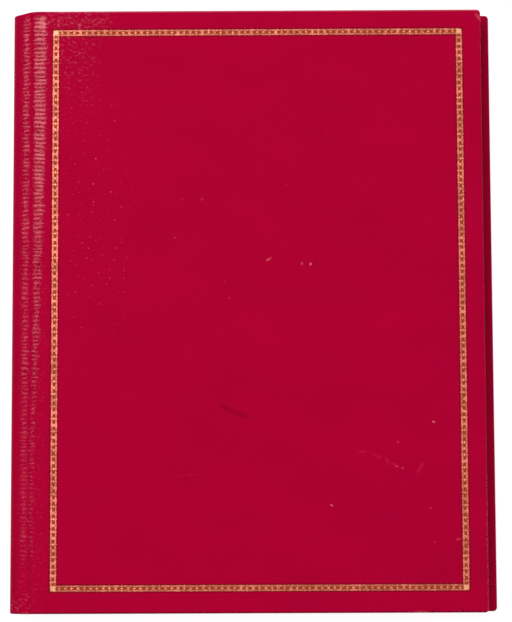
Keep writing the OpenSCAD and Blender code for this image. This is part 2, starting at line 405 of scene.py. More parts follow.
class Mark(NamedTuple):
    """A nick, scratch or scuff on the front cover: middle, length, width, angle, strength."""
    x: float
    y: float
    length: float
    width: float
    angle: float
    strength: float


# Pale nicks, in millimetres and degrees
NICKS = (Mark(8.1, 25.0, 3.9, 1.5, 32, 0.8), Mark(25.2, 22.6, 2.1, 1.6, 80, 0.5),
         Mark(29.7, 22.4, 2.3, 1.6, 70, 0.8), Mark(39.6, -101.5, 2.6, 0.9, -35, 0.9),
         Mark(92.1, -59.2, 1.8, 1.3, -10, 1.0), Mark(104.2, -119.0, 3.2, 1.6, 10, 0.32),
         Mark(89.8, -103.2, 1.7, 1.4, 20, 0.28), Mark(92.0, -120.5, 1.4, 1.1, 0, 0.22),
         Mark(68.8, -80.7, 1.4, 1.0, -25, 0.25), Mark(72.9, -81.8, 1.6, 1.2, -25, 0.35),
         Mark(76.0, -82.8, 1.6, 1.2, -25, 0.4), Mark(73.9, -69.4, 1.6, 1.4, 0, 0.22),
         Mark(-26.4, 56.2, 2.6, 1.9, 30, 0.15), Mark(-36.5, 56.6, 1.9, 1.5, 0, 0.07),
         Mark(-40.2, 36.4, 1.9, 1.6, 0, 0.14), Mark(-12.4, 4.9, 1.7, 1.4, 0, 0.11),
         Mark(-14.7, 13.5, 1.7, 1.4, 0, 0.06), Mark(17.6, 63.6, 1.7, 1.4, 0, 0.05),
         Mark(84.5, -155.6, 11, 1.6, 0, 0.3), Mark(118.2, 151.6, 7.5, 2.4, -52, 0.36))
# Faint scratches that only lighten the leather
SCRATCHES = (Mark(68.0, -79.0, 24, 2.8, -25, 0.85), Mark(56.5, -74.3, 10, 2.2, 0, 0.55),
             Mark(85.1, -82.7, 10, 3.0, 63, 0.7), Mark(-34.0, -86.0, 16, 1.4, 8, 0.4),
             Mark(-8.0, -88.5, 18, 1.2, 5, 0.3), Mark(58.0, 60.0, 9, 1.0, 4, 0.25))
# Dark scuffs, in the same terms
SCUFFS = (Mark(-13.4, -52.1, 12, 3.6, -26, 0.42), Mark(-5.8, -55.3, 12, 3.6, -14, 0.42),
          Mark(14.0, -58.5, 24, 1.4, -3, 0.16), Mark(23.0, -61.5, 9, 1.4, 0, 0.2),
          Mark(90.8, -155.3, 1.8, 2.4, 0, 0.9), Mark(105.7, -155.2, 2.2, 2.4, 0, 0.9),
          Mark(114.2, -155.2, 1.6, 2.4, 0, 0.9), Mark(-3.0, -155.4, 2.0, 2.0, 0, 0.8),
          Mark(-112.6, 155.6, 1.4, 2.2, 0, 0.8), Mark(-109.4, 155.6, 2.4, 2.0, 0, 0.8),
          Mark(-103.2, 155.6, 1.6, 2.0, 0, 0.8))


def marks_mask(finish, place, marks):
    """Where any of the marks lies on the flat hide."""
    total = 0.0
    for mark in marks:
        local = finish.node("ShaderNodeMapping", {"vector_type": "TEXTURE"},
                            {"Vector": place, "Location": (mark.x, mark.y, 0),
                             "Rotation": (0, 0, math.radians(mark.angle)),
                             "Scale": (mark.length, mark.width, 1)})
        flat = finish.scaled(local, (2, 2, 0))
        away = finish.node("ShaderNodeVectorMath", {"operation": "LENGTH"}, {0: flat}).out("Value")
        total = total + (1 - finish.between(away, 0.35, 1.0)) * mark.strength
    return total


def cover_leather(hide, spine_middle):
    """Straight-grained crimson leather, rubbed pale along the crests beside the joints.

    Places and widths are millimetres on the flat hide: x and y are the frame's own on the front
    cover, and from_spine is the way along the hide from the middle of the spine.
    """
    finish = Finish("cover_leather")
    place = finish.flat_hide()
    x, y, _ = finish.axes(place)
    from_spine = finish.maths("ABSOLUTE", x - spine_middle)
    on_front = finish.between(x, spine_middle - 1, spine_middle + 1)
    on_side = on_front * 0.4 + 0.6

    grain = finish.noise(place, (0.16, 1.5, 1), detail=3, rough=0.6)
    pebble = finish.noise(place, (1.5, 2.6, 1), detail=3, rough=0.65, distortion=0.6)
    cloud = finish.noise(place, (0.02, 0.035, 1), detail=3)
    dots = finish.noise(place, (0.55, 0.75, 1), detail=3, rough=0.6)
    patch = finish.noise(place, (0.30, 0.22, 1), detail=3, rough=0.6)
    drift = (finish.noise(place, (0.02, 0.05, 1), detail=2) * 22
             + finish.noise(place, (0.22, 0.35, 1), detail=2) * 4)
    ladder = finish.wave(y, hide.fold_pitch, drift)
    ragged = (finish.noise(place, (0.35, 0.8, 1), detail=3, rough=0.7) - 0.5) * 7.5

    # Two worn crests run down each side of the spine, and fade towards the foot
    down = ((finish.between(y, -138, -116) * 0.38 + finish.between(y, -100, -20) * 0.25
             + finish.between(y, 0, 90) * 0.25) * (1 - finish.between(y, 152.4, 154.2)))
    foot = 1 - finish.between(y, -90, -10)
    reach = finish.between(y, -100, 130)
    across = from_spine + ragged
    inner = finish.peak(across, 10.7, 12.6, 1.0) * on_side
    outer = finish.peak(across + foot * 1.2, 17.0, 17.0 + reach * 4.2, 1.3) * on_side
    crests = (inner * 0.75 + outer) * down

    # The wear on them breaks into cross folds and winding veins. The folds between the pale streaks
    # are darkened: painted shade in the creases
    uneven = finish.noise(place, (0.14, 0.42, 1), detail=2, rough=0.6)
    rung = ladder + (uneven - 0.5) * 1.5
    broken = patch * 0.3 + pebble * 0.7 + down * 0.05
    winding = finish.noise(place, (0.5, 0.42, 1), detail=2, rough=0.6)
    vein = 1 - finish.between(finish.maths("ABSOLUTE", winding - 0.5), 0.0, 0.05)
    streaks = finish.maths("MAXIMUM", finish.between(rung, 0.46, 0.94)
                           * finish.between(broken, 0.45, 0.63),
                           vein * finish.between(broken, 0.45, 0.62) * 0.62)
    folds = (1 - finish.between(rung, 0.16, 0.52)) * (1 - vein) * crests
    head_patch = (finish.peak(across, 19.4, 21.2, 1.2)
                  * finish.peak(y + ragged * 0.8, 146.5, 151.8, 1.8) * on_front)
    veil = outer * down * finish.between(y, 10, 70) * (ladder * 0.16 + 0.06)
    wear = crests * streaks * 1.05 + veil + head_patch * (pebble * 0.6 + 0.1)

    # Faint speckles and smears beside them
    smear = finish.noise(place, (0.18, 0.9, 1), detail=4, rough=0.7)
    head_smear = (finish.peak(from_spine, 25, 52, 6) * finish.peak(y, 148.6, 151.4, 1.2)
                  * finish.between(smear * 0.4 + dots * 0.6, 0.46, 0.62) * 0.12)
    margin = (finish.peak(from_spine, 30, 42, 12) * finish.between(y, 92, 142) * 0.9
              + finish.peak(from_spine, 24, 50, 12) * finish.between(y, 142, 149) * 0.7
              + finish.peak(from_spine, 3, 13, 4) * (1 - finish.between(y, -153, -143)) * 1.1
              + finish.peak(from_spine, 9, 22, 2) * 0.22)
    speckle = (finish.between(dots, 0.52, 0.66) * finish.between(patch, 0.36, 0.54)
               * margin * on_front)
    specks = (finish.between(dots, 0.62, 0.72) * finish.between(patch, 0.46, 0.58)
              * finish.peak(from_spine, 38, 58, 14) * finish.peak(y, 10, 90, 35) * on_front)

    # Rubbed edges with a painted highlight along the head edge and painted shade along the foot edge,
    # nicks, scuffs and scratches
    edge = finish.mesh_value("edge")
    foot_share = 1 - finish.between(y, -150, -60) * 0.88
    rim = finish.between(edge, 0.4, 0.9)
    # Painted highlight along the head edge of the front cover
    head_rim = finish.between(y, 154.5, 155.1) * rim * finish.between(x, -112, -98)
    # Painted shade along the foot edge, where the pale rub is also left out
    foot_rim = (1 - finish.between(y, -155.1, -154.5)) * rim
    rubbed_and_lit_edge = (finish.between(edge * 0.7 + (dots - 0.5) * 1.2, 0.55, 1.0) * foot_share
                   * (1 - foot_rim) + head_rim * (patch * 0.9 + 0.5))
    nicks = marks_mask(finish, place, NICKS) * finish.between(dots, 0.33, 0.5)
    scuffs = marks_mask(finish, place, SCUFFS) * finish.between(pebble, 0.26, 0.56)
    scratches = marks_mask(finish, place, SCRATCHES) * finish.between(patch, 0.38, 0.56)
    # Painted shade in the groove beside each joint
    groove = finish.peak(from_spine, 14.9, 15.7, 1.0)
    tooled = finish.mesh_value("tooled")
    ground = finish.between(tooled, 0.93, 1.0)

    # From the plain leather to the painted shade and dark scuffs, and then the palest wear and the
    # painted highlight on it
    # Painted shade on the shoulders beside the spine, where the hide turns away from the light
    shoulder_shade = 1 - finish.between(from_spine, 6, 13)
    plain = finish.mix(cloud * 0.8 + grain * 0.6 - 0.22, shade(hide.colour, 0.86),
                       shade(hide.colour, 1.14))
    # Painted shade in the groove, the folds, the shoulders and along the foot edge, with the dark
    # scuffs
    shade_and_scuffs = groove * 0.15 + scuffs * 0.9 + folds * 0.75 + shoulder_shade * 0.3 + foot_rim * patch * 1.3
    dark = finish.mix(finish.maths("MINIMUM", shade_and_scuffs, 0.9), plain, shade(hide.colour, 0.40))
    # Painted shade along the walls of the pressed channel beside the gilt band; the pressed ground
    # under the band takes a brown-gold of its own
    press_shaded = finish.mix(finish.between(tooled, 0.0, 0.7) * 0.85, dark, (0.13, 0.001, 0.003))
    press_shaded = finish.mix(ground * 0.9, press_shaded, (0.38, 0.048, 0.014))
    press_shaded = finish.mix(scratches * 0.6, press_shaded, (0.54, 0.012, 0.075))
    # The pale wear, with the painted highlight along the head edge
    rubbed = wear + speckle * 0.19 + specks * 0.4 + head_smear + rubbed_and_lit_edge * 0.33
    pale = finish.mix(finish.maths("MINIMUM", rubbed, 0.92), press_shaded, hide.worn)
    base = finish.mix(finish.maths("MINIMUM", nicks, 1.0), pale, (0.78, 0.14, 0.165))

    height = (grain * 0.09 + pebble * 0.05 - scuffs * 0.05 - nicks * 0.05
              + (ladder - 0.5) * (inner + outer) * 0.16)
    roughness = finish.maths("MINIMUM", pebble * 0.12 + 0.40 + wear * 0.18 + speckle * 0.1, 0.9)
    return finish.surface(base, roughness, height,
                          {"Specular IOR Level": 0.04, "Specular Tint": (1.0, 0.1, 0.25, 1.0)})


def inner_leather(name, base_colour, mapped=True):
    """Smooth calf with a fine pore, on a mesh that keeps its flat places where it is mapped."""
    finish = Finish(name)
    place = finish.flat_hide() if mapped else finish.object_mm()
    pore = finish.noise(place, (1.7, 2.1, 1.9), detail=3, rough=0.62, distortion=0.4)
    cloud = finish.noise(place, (0.045, 0.06, 0.05), detail=3)
    rub = finish.between(finish.noise(place, (0.05, 0.4, 0.4), detail=4, rough=0.7), 0.55, 0.8)
    base = finish.mix(cloud * 1.2 - 0.1, shade(base_colour, 0.8), shade(base_colour, 1.22))
    base = finish.mix(rub * 0.16, base, shade(base_colour, 2.0))
    if mapped:
        worn_edge = finish.between(finish.mesh_value("edge") * 0.8 + (pore - 0.5), 0.5, 1.0)
        base = finish.mix(worn_edge * 0.6, base, shade(base_colour, 2.4))
    roughness = pore * 0.16 + 0.40
    return finish.surface(base, roughness, pore * 0.13,
                          {"Specular IOR Level": 0.09, "Specular Tint": (1.0, 0.3, 0.35, 1.0)})


def watered_silk(lining):
    """Ribbed silk with a watered figure."""
    finish = Finish("watered_silk")
    place = finish.flat_hide()
    _, y, _ = finish.axes(place)
    figure_pitch, rib_pitch = 17, 0.42
    drift = (finish.noise(place, (0.011, 0.03, 1), detail=3, rough=0.55) * 46
             + finish.noise(place, (0.05, 0.11, 1), detail=2) * 7)
    figure = finish.wave(y, figure_pitch, drift)
    rib = finish.wave(y, rib_pitch)
    thread = finish.noise(place, (0.5, 5.0, 1), detail=2)
    lines = finish.between(figure, 0.55, 1.0) * finish.between(thread, 0.3, 0.6)
    tone = lines * 0.6 + figure * 0.2 + rib * (lines * 0.3 + 0.1) + thread * 0.1
    base = finish.mix(tone, lining.colour, lining.pale)
    return finish.surface(base, 0.5 - lines * 0.14, rib * 0.03 + thread * 0.02,
                          {"Specular IOR Level": 0.22, "Specular Tint": (1.0, 0.55, 0.6, 1.0),
                           "Sheen Weight": 0.08, "Sheen Roughness": 0.4,
                           "Sheen Tint": (1.0, 0.35, 0.45, 1.0)})


def gold_leaf(gilt):
    """Gold leaf tooled into leather: bright, with rubbed stretches."""
    finish = Finish("gold_leaf")
    place = finish.object_mm()
    _, y, _ = finish.axes(place)
    patch = finish.noise(place, (0.11, 0.11, 1), detail=3, rough=0.6)
    fleck = finish.noise(place, (1.0, 1.0, 1), detail=3, rough=0.6)
    spot = finish.noise(place, (0.42, 0.42, 1), detail=2, rough=0.5)
    short_sides = min(-BAND_FOOT, BAND_HEAD) / MM
    dull = finish.between(finish.maths("ABSOLUTE", y), short_sides - 2.6, short_sides - 1.6)
    strength = finish.between(patch * 0.45 + fleck * 0.75 - dull * 0.05, 0.50, 0.73)
    stamped = finish.mesh_value("edge")
    base = finish.mix(strength, gilt.rubbed, gilt.colour)
    base = finish.mix(finish.between(spot, 0.52, 0.66) * (0.7 - dull * 0.35), base, gilt.shiny)
    base = finish.mix(stamped * (strength * 0.4 + 0.6), base, gilt.bright)
    return finish.surface(base, fleck * 0.2 + 0.32, fleck * 0.03, {"Specular IOR Level": 0.5},
                          metallic=strength * 0.4 + 0.35)


def twisted_thread(panel):
    """Waxed thread with its twist."""
    finish = Finish("twisted_thread")
    place = finish.object_mm()
    x, y, _ = finish.axes(place)
    twist_pitch = 0.35
    twist = finish.wave(x + y, twist_pitch)
    fibre = finish.noise(place, (4, 4, 4), detail=2)
    base = finish.mix(twist * 0.6 + fibre * 0.4, shade(panel.thread_colour, 0.65),
                      shade(panel.thread_colour, 1.3))
    return finish.surface(base, fibre * 0.2 + 0.5, twist * 0.04)


def writing_paper(pad):
    """Laid writing paper with faint chain lines and soft fibres."""
    finish = Finish("writing_paper")
    place = finish.object_mm()
    x, y, _ = finish.axes(place)
    laid_pitch, chain_pitch = 1.1, 25
    laid = finish.wave(y, laid_pitch)
    chain = finish.between(finish.wave(x, chain_pitch), 0.9925, 1.0)
    fibre = finish.noise(place, (0.6, 0.6, 8.0), detail=5, rough=0.7)
    cloud = finish.noise(place, (0.02, 0.02, 0.3), detail=2)
    tone = laid * 0.18 + chain * 0.25 + fibre * 0.35 + cloud * 0.4
    base = finish.mix(tone, pad.paper, shade(pad.paper, 0.84))
    return finish.surface(base, fibre * 0.1 + 0.7, laid * 0.006 + fibre * 0.02)


def book_cloth(pad):
    """Plain-woven book cloth."""
    finish = Finish("book_cloth")
    place = finish.object_mm()
    x, y, z = finish.axes(place)
    thread_pitch = 0.55
    warp = finish.wave(x, thread_pitch)
    weft = finish.wave(y + z, thread_pitch)
    slub = finish.noise(place, (0.25, 2.0, 2.0), detail=3)
    weave = warp * weft
    base = finish.mix(weave * 0.7 + slub * 0.5, shade(pad.cloth, 0.6), shade(pad.cloth, 1.6))
    return finish.surface(base, 0.72 + slub * 0.1, weave * 0.08)


def grey_card(pad):
    """Pressed card with flecks and layered edges."""
    finish = Finish("grey_card")
    place = finish.object_mm()
    fleck = finish.noise(place, (1.2, 1.2, 6.0), detail=5, rough=0.75)
    cloud = finish.noise(place, (0.05, 0.05, 0.4), detail=3)
    base = finish.mix(fleck * 0.8 + cloud * 0.5 - 0.15, shade(pad.card, 0.72),
                      shade(pad.card, 1.25))
    return finish.surface(base, 0.8 + fleck * 0.1, fleck * 0.05)


def smooth(value, low, high):
    """0 below low, 1 above high, and smooth in between."""
    share = min(1.0, max(0.0, (value - low) / (high - low)))
    return share * share * (3 - 2 * share)


def spread(start, end, step):
    """Even values from start up to, but not including, end, no more than step apart."""
    count = max(1, math.ceil((end - start) / step - 1e-6))
    return [start + (end - start) * k / count for k in range(count)]


class Station(NamedTuple):
    """A line that runs the height of the case on its outer face: where it lies from the bend,
    which way is in, and how far along the hide it is from the middle of the spine."""
    x: float
    depth: float
    into_x: float
    into_depth: float
    run: float


def roll_centre(hide):
    """Middle of the arc on which the hide rolls over a shoulder: x from the bend, and depth."""
    return hide.shoulder_r - BULGE, SHOULDER.z + hide.shoulder_r * math.tan(ROLL_TURN / 2)


def half_section(hide, flats):
    """Stations from the middle of the spine over its shoulder, then at each x of flats."""
    spine_step, slope_step, roll_steps = 0.7 * MM, 0.55 * MM, 12
    radius = hide.shoulder_r
    centre_x, centre_depth = roll_centre(hide)
    points = [(-BULGE, -height, 1.0, 0.0)
              for height in spread(-CASE_T / 2, -centre_depth, spine_step)]
    rolled = math.pi + ROLL_TURN
    for angle in spread(math.pi, rolled, ROLL_TURN / roll_steps):
        across, down = math.cos(angle), math.sin(angle)
        points.append((centre_x + radius * across, centre_depth + radius * down, -across, -down))
    # The slope runs out softly into the flat of the cover. Past this power it is flat
    flat_power = 50.0
    for x in spread(centre_x + radius * math.cos(rolled), SEAM_X, slope_step) + flats:
        depth = hide.ease * math.tan(SLOPE) * math.log1p(math.exp(-x / hide.ease))
        fall = math.tan(SLOPE) / (1 + math.exp(min(flat_power, x / hide.ease)))
        length = math.hypot(fall, 1)
        points.append((x, depth, fall / length, 1 / length))
    stations, run = [], 0.0
    for index, point in enumerate(points):
        if index:
            run += math.dist(point[:2], points[index - 1][:2])
        stations.append(Station(*point, run))
    return stations


def wall_thickness(x):
    """From the outer face to the inner one: two leathers at the spine, a board between on a cover."""
    board_starts, board_full = 0.3 * MM, 2.0 * MM
    return LAMINATE_T + (COVER_T - LAMINATE_T) * smooth(x, board_starts, board_full)


class Sheet:
    """Points and faces of a piece, with their places on the flat leather that its grain follows."""

    def __init__(self):
        self.points, self.places, self.edges, self.tooled, self.faces = [], [], [], [], []

    def point(self, place, flat, edge=0.0, tooled=0.0):
        """A point's number: place in the frame, flat on the hide, and how worn and how tooled."""
        self.points.append(tuple(place))
        self.places.append(tuple(flat))
        self.edges.append(edge)
        self.tooled.append(tooled)
        return len(self.points) - 1

    def rows(self, rows, closed=False):
        """Faces between neighbouring rows of points."""
        for first, second in zip(rows, rows[1:]):
            count = len(first)
            for k in range(count if closed else count - 1):
                nxt = (k + 1) % count
                corners = [first[k], first[nxt], second[nxt], second[k]]
                face = [c for i, c in enumerate(corners) if c != corners[i - 1]]
                if len(face) > 2:
                    self.faces.append(face)

    def stack(self, rings):
        """A closed form from rings of points, with a face over the first and the last."""
        self.rows(rings, closed=True)
        self.faces += [rings[-1], rings[0][::-1]]

    def slab(self, outline, steps, worn=0.0):
        """A closed slab, each of whose rings lies some way in from the outline, at a height."""
        self.stack([[self.point((x, y, z), (x, y, 0.0), worn) for x, y in inset(outline, distance)]
                    for distance, z in steps])

    def made(self, name, material, out=None, thickness=0.0, sharp=35):
        """The piece as an object, its faces turned out, or towards out where it is an open sheet."""
        mesh = bpy.data.meshes.new(name)
        mesh.from_pydata(self.points, [], self.faces)
        for key, kind, values in (("hide", "FLOAT_VECTOR", self.places),
                                  ("edge", "FLOAT", self.edges),
                                  ("tooled", "FLOAT", self.tooled)):
            layer = mesh.attributes.new(key, kind, "POINT")
            if kind == "FLOAT":
                layer.data.foreach_set("value", values)
            else:
                layer.data.foreach_set("vector", [v / MM for place in values for v in place])
        same_place, no_length = 1e-6, 1e-7
        edit = bmesh.new()
        edit.from_mesh(mesh)
        bmesh.ops.remove_doubles(edit, verts=edit.verts, dist=same_place)
        bmesh.ops.dissolve_degenerate(edit, edges=edit.edges, dist=no_length)
        bmesh.ops.recalc_face_normals(edit, faces=edit.faces)
        if out is not None:
            edit.faces.ensure_lookup_table()
            if edit.faces[0].normal.dot(Vector(out)) < 0:
                bmesh.ops.reverse_faces(edit, faces=edit.faces)
        edit.to_mesh(mesh)
        edit.free()
        made = bpy.data.objects.new(name, mesh)
        bpy.context.scene.collection.objects.link(made)
        mesh.materials.append(material)
        if thickness:
            wall = made.modifiers.new("thickness", "SOLIDIFY")
            wall.thickness = thickness
            wall.offset = -1.0
            wall.use_even_offset = True
            settle(made)
        made.data.shade_smooth()
        made.data.set_sharp_from_angle(angle=math.radians(sharp))
        return made


def settle(piece):
    """Turns what the piece's modifiers make into its own mesh."""
    depsgraph = bpy.context.evaluated_depsgraph_get()
    mesh = bpy.data.meshes.new_from_object(piece.evaluated_get(depsgraph))
    mesh.name = piece.name
    piece.modifiers.clear()
    piece.data = mesh
    return piece


def world_z(side, depth):
    """Height of a point at a depth under the outer face of a cover."""
    return depth if side == "back" else CASE_T - depth


def hide_x(side, run, front_shift):
    """Place across the flat hide: it equals x on the flat of the front cover."""
    return run + front_shift if side == "front" else front_shift - run


def band_press(x, y, gilt):
    """1 where the leather is pressed under the gilt band, 0 away from it."""
    away = max(BAND_LEFT - x, x - BAND_RIGHT, BAND_FOOT - y, y - BAND_HEAD)
    return 1 - smooth(abs(away), gilt.width / 2 - WALL_IN, gilt.width / 2 + WALL_OUT)


def around(line, gilt):
    """Grid lines across one side of the band, at its walls and its ground."""
    half, mid_wall = gilt.width / 2, 0.25 * MM
    wall = (WALL_OUT, mid_wall, -WALL_IN)
    return ([line - half - step for step in wall] + [line]
            + [line + half + step for step in reversed(wall)])


def groove_flats():
    """Values of x from the bend, from the seam over the groove."""
    slope_step, groove_step = 0.4 * MM, 0.28 * MM
    return spread(SEAM_X, -GROOVE_SIDE, slope_step) + spread(-GROOVE_SIDE, GROOVE_END, groove_step)


def cover_flats(side, gilt):
    """Values of x from the bend at which a cover's stations lie, dense where it turns."""
    last = FORE[side] - GRID_INSET
    near_end, fore_step = 9 * MM, 1.2 * MM
    near = groove_flats() + spread(GROOVE_END, near_end, NEAR_STEP)
    if side == "back":
        return near + spread(near_end, last, BACK_STEP) + [last]
    left = around(BAND_LEFT - HINGE_X, gilt)
    right = around(BAND_RIGHT - HINGE_X, gilt)
    return (near + spread(near_end, left[0], NEAR_STEP) + left
            + spread(left[-1], right[0], FIELD_STEP)[1:] + right
            + spread(right[-1], last, fore_step)[1:] + [last])


def cover_rows(side, gilt):
    """Values of y at which a cover's points lie."""
    last, end_step = HALF_H - GRID_INSET, 1.5 * MM
    if side == "back":
        return spread(-last, last, BACK_STEP) + [last]
    foot, head = around(BAND_FOOT, gilt), around(BAND_HEAD, gilt)
    return (spread(-last, foot[0], end_step) + foot + spread(foot[-1], head[0], FIELD_STEP)[1:]
            + head + spread(head[-1], last, end_step)[1:] + [last])


def drawn_in(station, y, hide):
    """A place up the case, drawn in a little at the worn head of the spine."""
    flat_x, drawn_h = 2 * MM, 16 * MM
    near_spine = 1 - smooth(station.x, -BULGE, flat_x)
    near_head = smooth(y, HALF_H - drawn_h, HALF_H)
    return y - hide.cap_dip * near_spine * near_head


def on_case(station, side, y, depth, hide, slip=0.0):
    """A point at a depth inside the case's outer face, slipped along X by slip."""
    inside = min(1.0, depth / LAMINATE_T)
    groove = hide.groove_d * math.exp(-(station.x / hide.groove_w) ** 2) * (1 - 0.8 * inside)
    inward = depth + groove
    return Vector((HINGE_X + station.x + slip + station.into_x * inward,
                   drawn_in(station, y, hide),
                   world_z(side, station.depth + station.into_depth * inward)))


def edge_profile(thick, radius):
    """How the hide turns round an edge: reach past the grid, depth, and share of wear."""
    radius = min(radius, thick / 2 - 0.01 * MM)
    reach = GRID_INSET - radius
    quarter = [math.radians(a) for a in (22.5, 45, 67.5, 90)]
    rows = [(reach, 0.0, 0.3)]
    rows += [(reach + radius * math.sin(a), radius * (1 - math.cos(a)), 1.0) for a in quarter]
    rows += [(reach + radius, thick - radius, 0.55)]
    rows += [(reach + radius * math.cos(a), thick - radius * (1 - math.sin(a)), 0.5)
             for a in quarter]
    return rows


def hide_sheet(name, stations, side, case, front_shift, material):
    """One stretch of the cover leather: outer face, wrapped edges and turned-in border."""
    hide, gilt = case.hide, case.gilt
    rows = cover_rows(side, gilt)
    sheet = Sheet()
    fore = FORE[side] - TURN_IN
    has_fore = stations[-1].x > fore
    ends = (-HALF_H + TURN_IN, HALF_H - TURN_IN)

    # Slow waves of the board under the leather, so many to a metre, with none along its edges
    wave_rate, wave_depth = 14, 0.07 * MM
    wave_seed = 3.7 if side == "front" else 9.1
    still_edge, full_waves = 4 * MM, 20 * MM
    gap_to_board = 0.03 * MM

    def outer(station, y):
        x = HINGE_X + station.x
        from_edge = min(HALF_H - abs(y), FORE[side] - station.x) if has_fore else 0.0
        wave = noise.noise(Vector((x * wave_rate, y * wave_rate, wave_seed)))
        press = band_press(x, y, gilt) if side == "front" else 0.0
        depth = press * gilt.press + wave * wave_depth * smooth(from_edge, still_edge, full_waves)
        flat = (hide_x(side, station.run, front_shift), y, 0.0)
        return sheet.point(on_case(station, side, y, depth, hide), flat, 0.0, press)

    grid = [[outer(station, y) for y in rows] for station in stations]
    sheet.rows(grid)

    def border(entries):
        """Rows of points round the edges, from the grid out and in again under the board.

        Each entry is a station, a row and the angle at which the leather leaves the grid there.
        """
        columns = []
        for i, j, angle in entries:
            station, y = stations[i], rows[j]
            out_x, out_y = round(math.cos(angle), 9), math.sin(angle)
            thick = wall_thickness(station.x)
            column, travelled, last = [], 0.0, (0.0, 0.0)
            for reach, depth, worn in edge_profile(thick, hide.edge_r):
                travelled += math.dist(last, (reach, depth))
                last = (reach, depth)
                flat = (hide_x(side, station.run + out_x * travelled, front_shift),
                        y + out_y * travelled, 0.0)
                spot = on_case(station, side, y + out_y * reach, depth, hide, out_x * reach)
                column.append(sheet.point(spot, flat, worn))
            inner_y = min(max(y, ends[0]), ends[1])
            slip = min(0.0, fore - station.x) if has_fore else 0.0
            start = Vector(sheet.points[column[-1]])
            end = on_case(station, side, inner_y, thick, hide, slip)
            for share in (0.5, 1.0):
                extra = travelled + (end - start).length * share
                flat = (hide_x(side, station.run + out_x * extra, front_shift),
                        y + out_y * extra, 0.0)
                column.append(sheet.point(start.lerp(end, share), flat, 0.0))
            columns.append([grid[i][j], *column])
        sheet.rows(list(zip(*columns)))

    last, top = len(stations) - 1, len(rows) - 1
    foot = [(i, 0, -math.pi / 2) for i in range(last + 1)]
    head = [(i, top, math.pi / 2) for i in range(last, -1, -1)]
    if has_fore:
        turns = [math.radians(a) for a in (15, 30, 45, 60, 75)]
        border(foot + [(last, 0, a - math.pi / 2) for a in turns]
               + [(last, j, 0.0) for j in range(top + 1)]
               + [(last, top, a) for a in turns] + head)
    else:
        border(foot)
        border(head)
    facing = (0, 0, -1 if side == "back" else 1) if has_fore else (-1, 0, 0)
    return sheet.made(name, material, facing, thickness=LEATHER_T - gap_to_board)


def gutter_sheet(name, stations, side, hide, front_shift, material):
    """One stretch of the leather strip pasted over the inside of the spine."""
    sheet = Sheet()
    overlap, even_inset, row_step = 2 * MM, 3 * MM, 4 * MM
    end = HALF_H - TURN_IN + overlap
    skive = [0.0, 0.25 * MM, 0.9 * MM]
    even_end = end - even_inset
    rows = ([-end + s for s in skive] + spread(-even_end, even_end, row_step)
            + [even_end] + [end - s for s in reversed(skive)])
    # The strip stands proud of what it is pasted on, and is pared thin at its ends and side
    proud, end_share, side_share = 0.12 * MM, 0.25, 0.2
    strip_t = 0.5 * MM
    grid = []
    for station in stations:
        thick = wall_thickness(station.x)
        line = []
        for y in rows:
            full = smooth(end - abs(y), 0.0, skive[-1])
            rise = proud * (end_share + (1 - end_share) * full)
            rise *= 1 - (1 - side_share) * smooth(station.x, LAP_X - LAP_SKIVE, LAP_X)
            flat = (hide_x(side, station.run, front_shift), y, 0.0)
            line.append(sheet.point(on_case(station, side, y, thick + rise, hide), flat,
                                    0.6 * (1 - full)))
        grid.append(line)
    sheet.rows(grid)
    on_cover = stations[-1].x > 0
    facing = (0, 0, 1 if side == "back" else -1) if on_cover else (1, 0, 0)
    return sheet.made(name, material, facing, thickness=strip_t)


def arc(centre_x, centre_y, radius, start, end, count):
    """Points along an arc, angles in degrees."""
    return [(centre_x + radius * math.cos(math.radians(start + (end - start) * k / count)),
             centre_y + radius * math.sin(math.radians(start + (end - start) * k / count)))
            for k in range(count + 1)]


def rounded_section(half_y, half_r, radius):
    """A rectangle about the origin with rounded corners."""
    y, r = half_y - radius, half_r - radius
    return (arc(y, r, radius, 0, 90, 3) + arc(-y, r, radius, 90, 180, 3)
            + arc(-y, -r, radius, 180, 270, 3) + arc(y, -r, radius, 270, 360, 3))


def panel_outline(low, high, radius, notch=0.0):
    """Outline of a panel with rounded corners and, at its head, a thumb notch."""
    left, foot, right, head = low[0], low[1], high[0], high[1]
    steps, notch_steps = 6, 24
    points = arc(left + radius, foot + radius, radius, 180, 270, steps)
    points += arc(right - radius, foot + radius, radius, 270, 360, steps)
    points += arc(right - radius, head - radius, radius, 0, 90, steps)
    if notch:
        middle = (left + right) / 2
        fillet = 3.2 * MM
        across = math.sqrt((notch + fillet) ** 2 - fillet ** 2)
        dip = math.degrees(math.asin(fillet / (notch + fillet)))
        points += arc(middle + across, head - fillet, fillet, 90, 180 - dip, steps)
        points += arc(middle, head, notch, -dip, dip - 180, notch_steps)[1:]
        points += arc(middle - across, head - fillet, fillet, dip, 90, steps)[1:]
    points += arc(left + radius, head - radius, radius, 90, 180, steps)
    return points


def inset(points, distance):
    """The outline moved in by distance, its corners mitred."""
    moved = []
    for k, point in enumerate(points):
        before = Vector(point) - Vector(points[k - 1])
        after = Vector(points[(k + 1) % len(points)]) - Vector(point)
        first = Vector((-before.y, before.x)).normalized()
        second = Vector((-after.y, after.x)).normalized()
        shift = (first + second) * (distance / (1 + first.dot(second)))
        moved.append((point[0] + shift.x, point[1] + shift.y))
    return moved


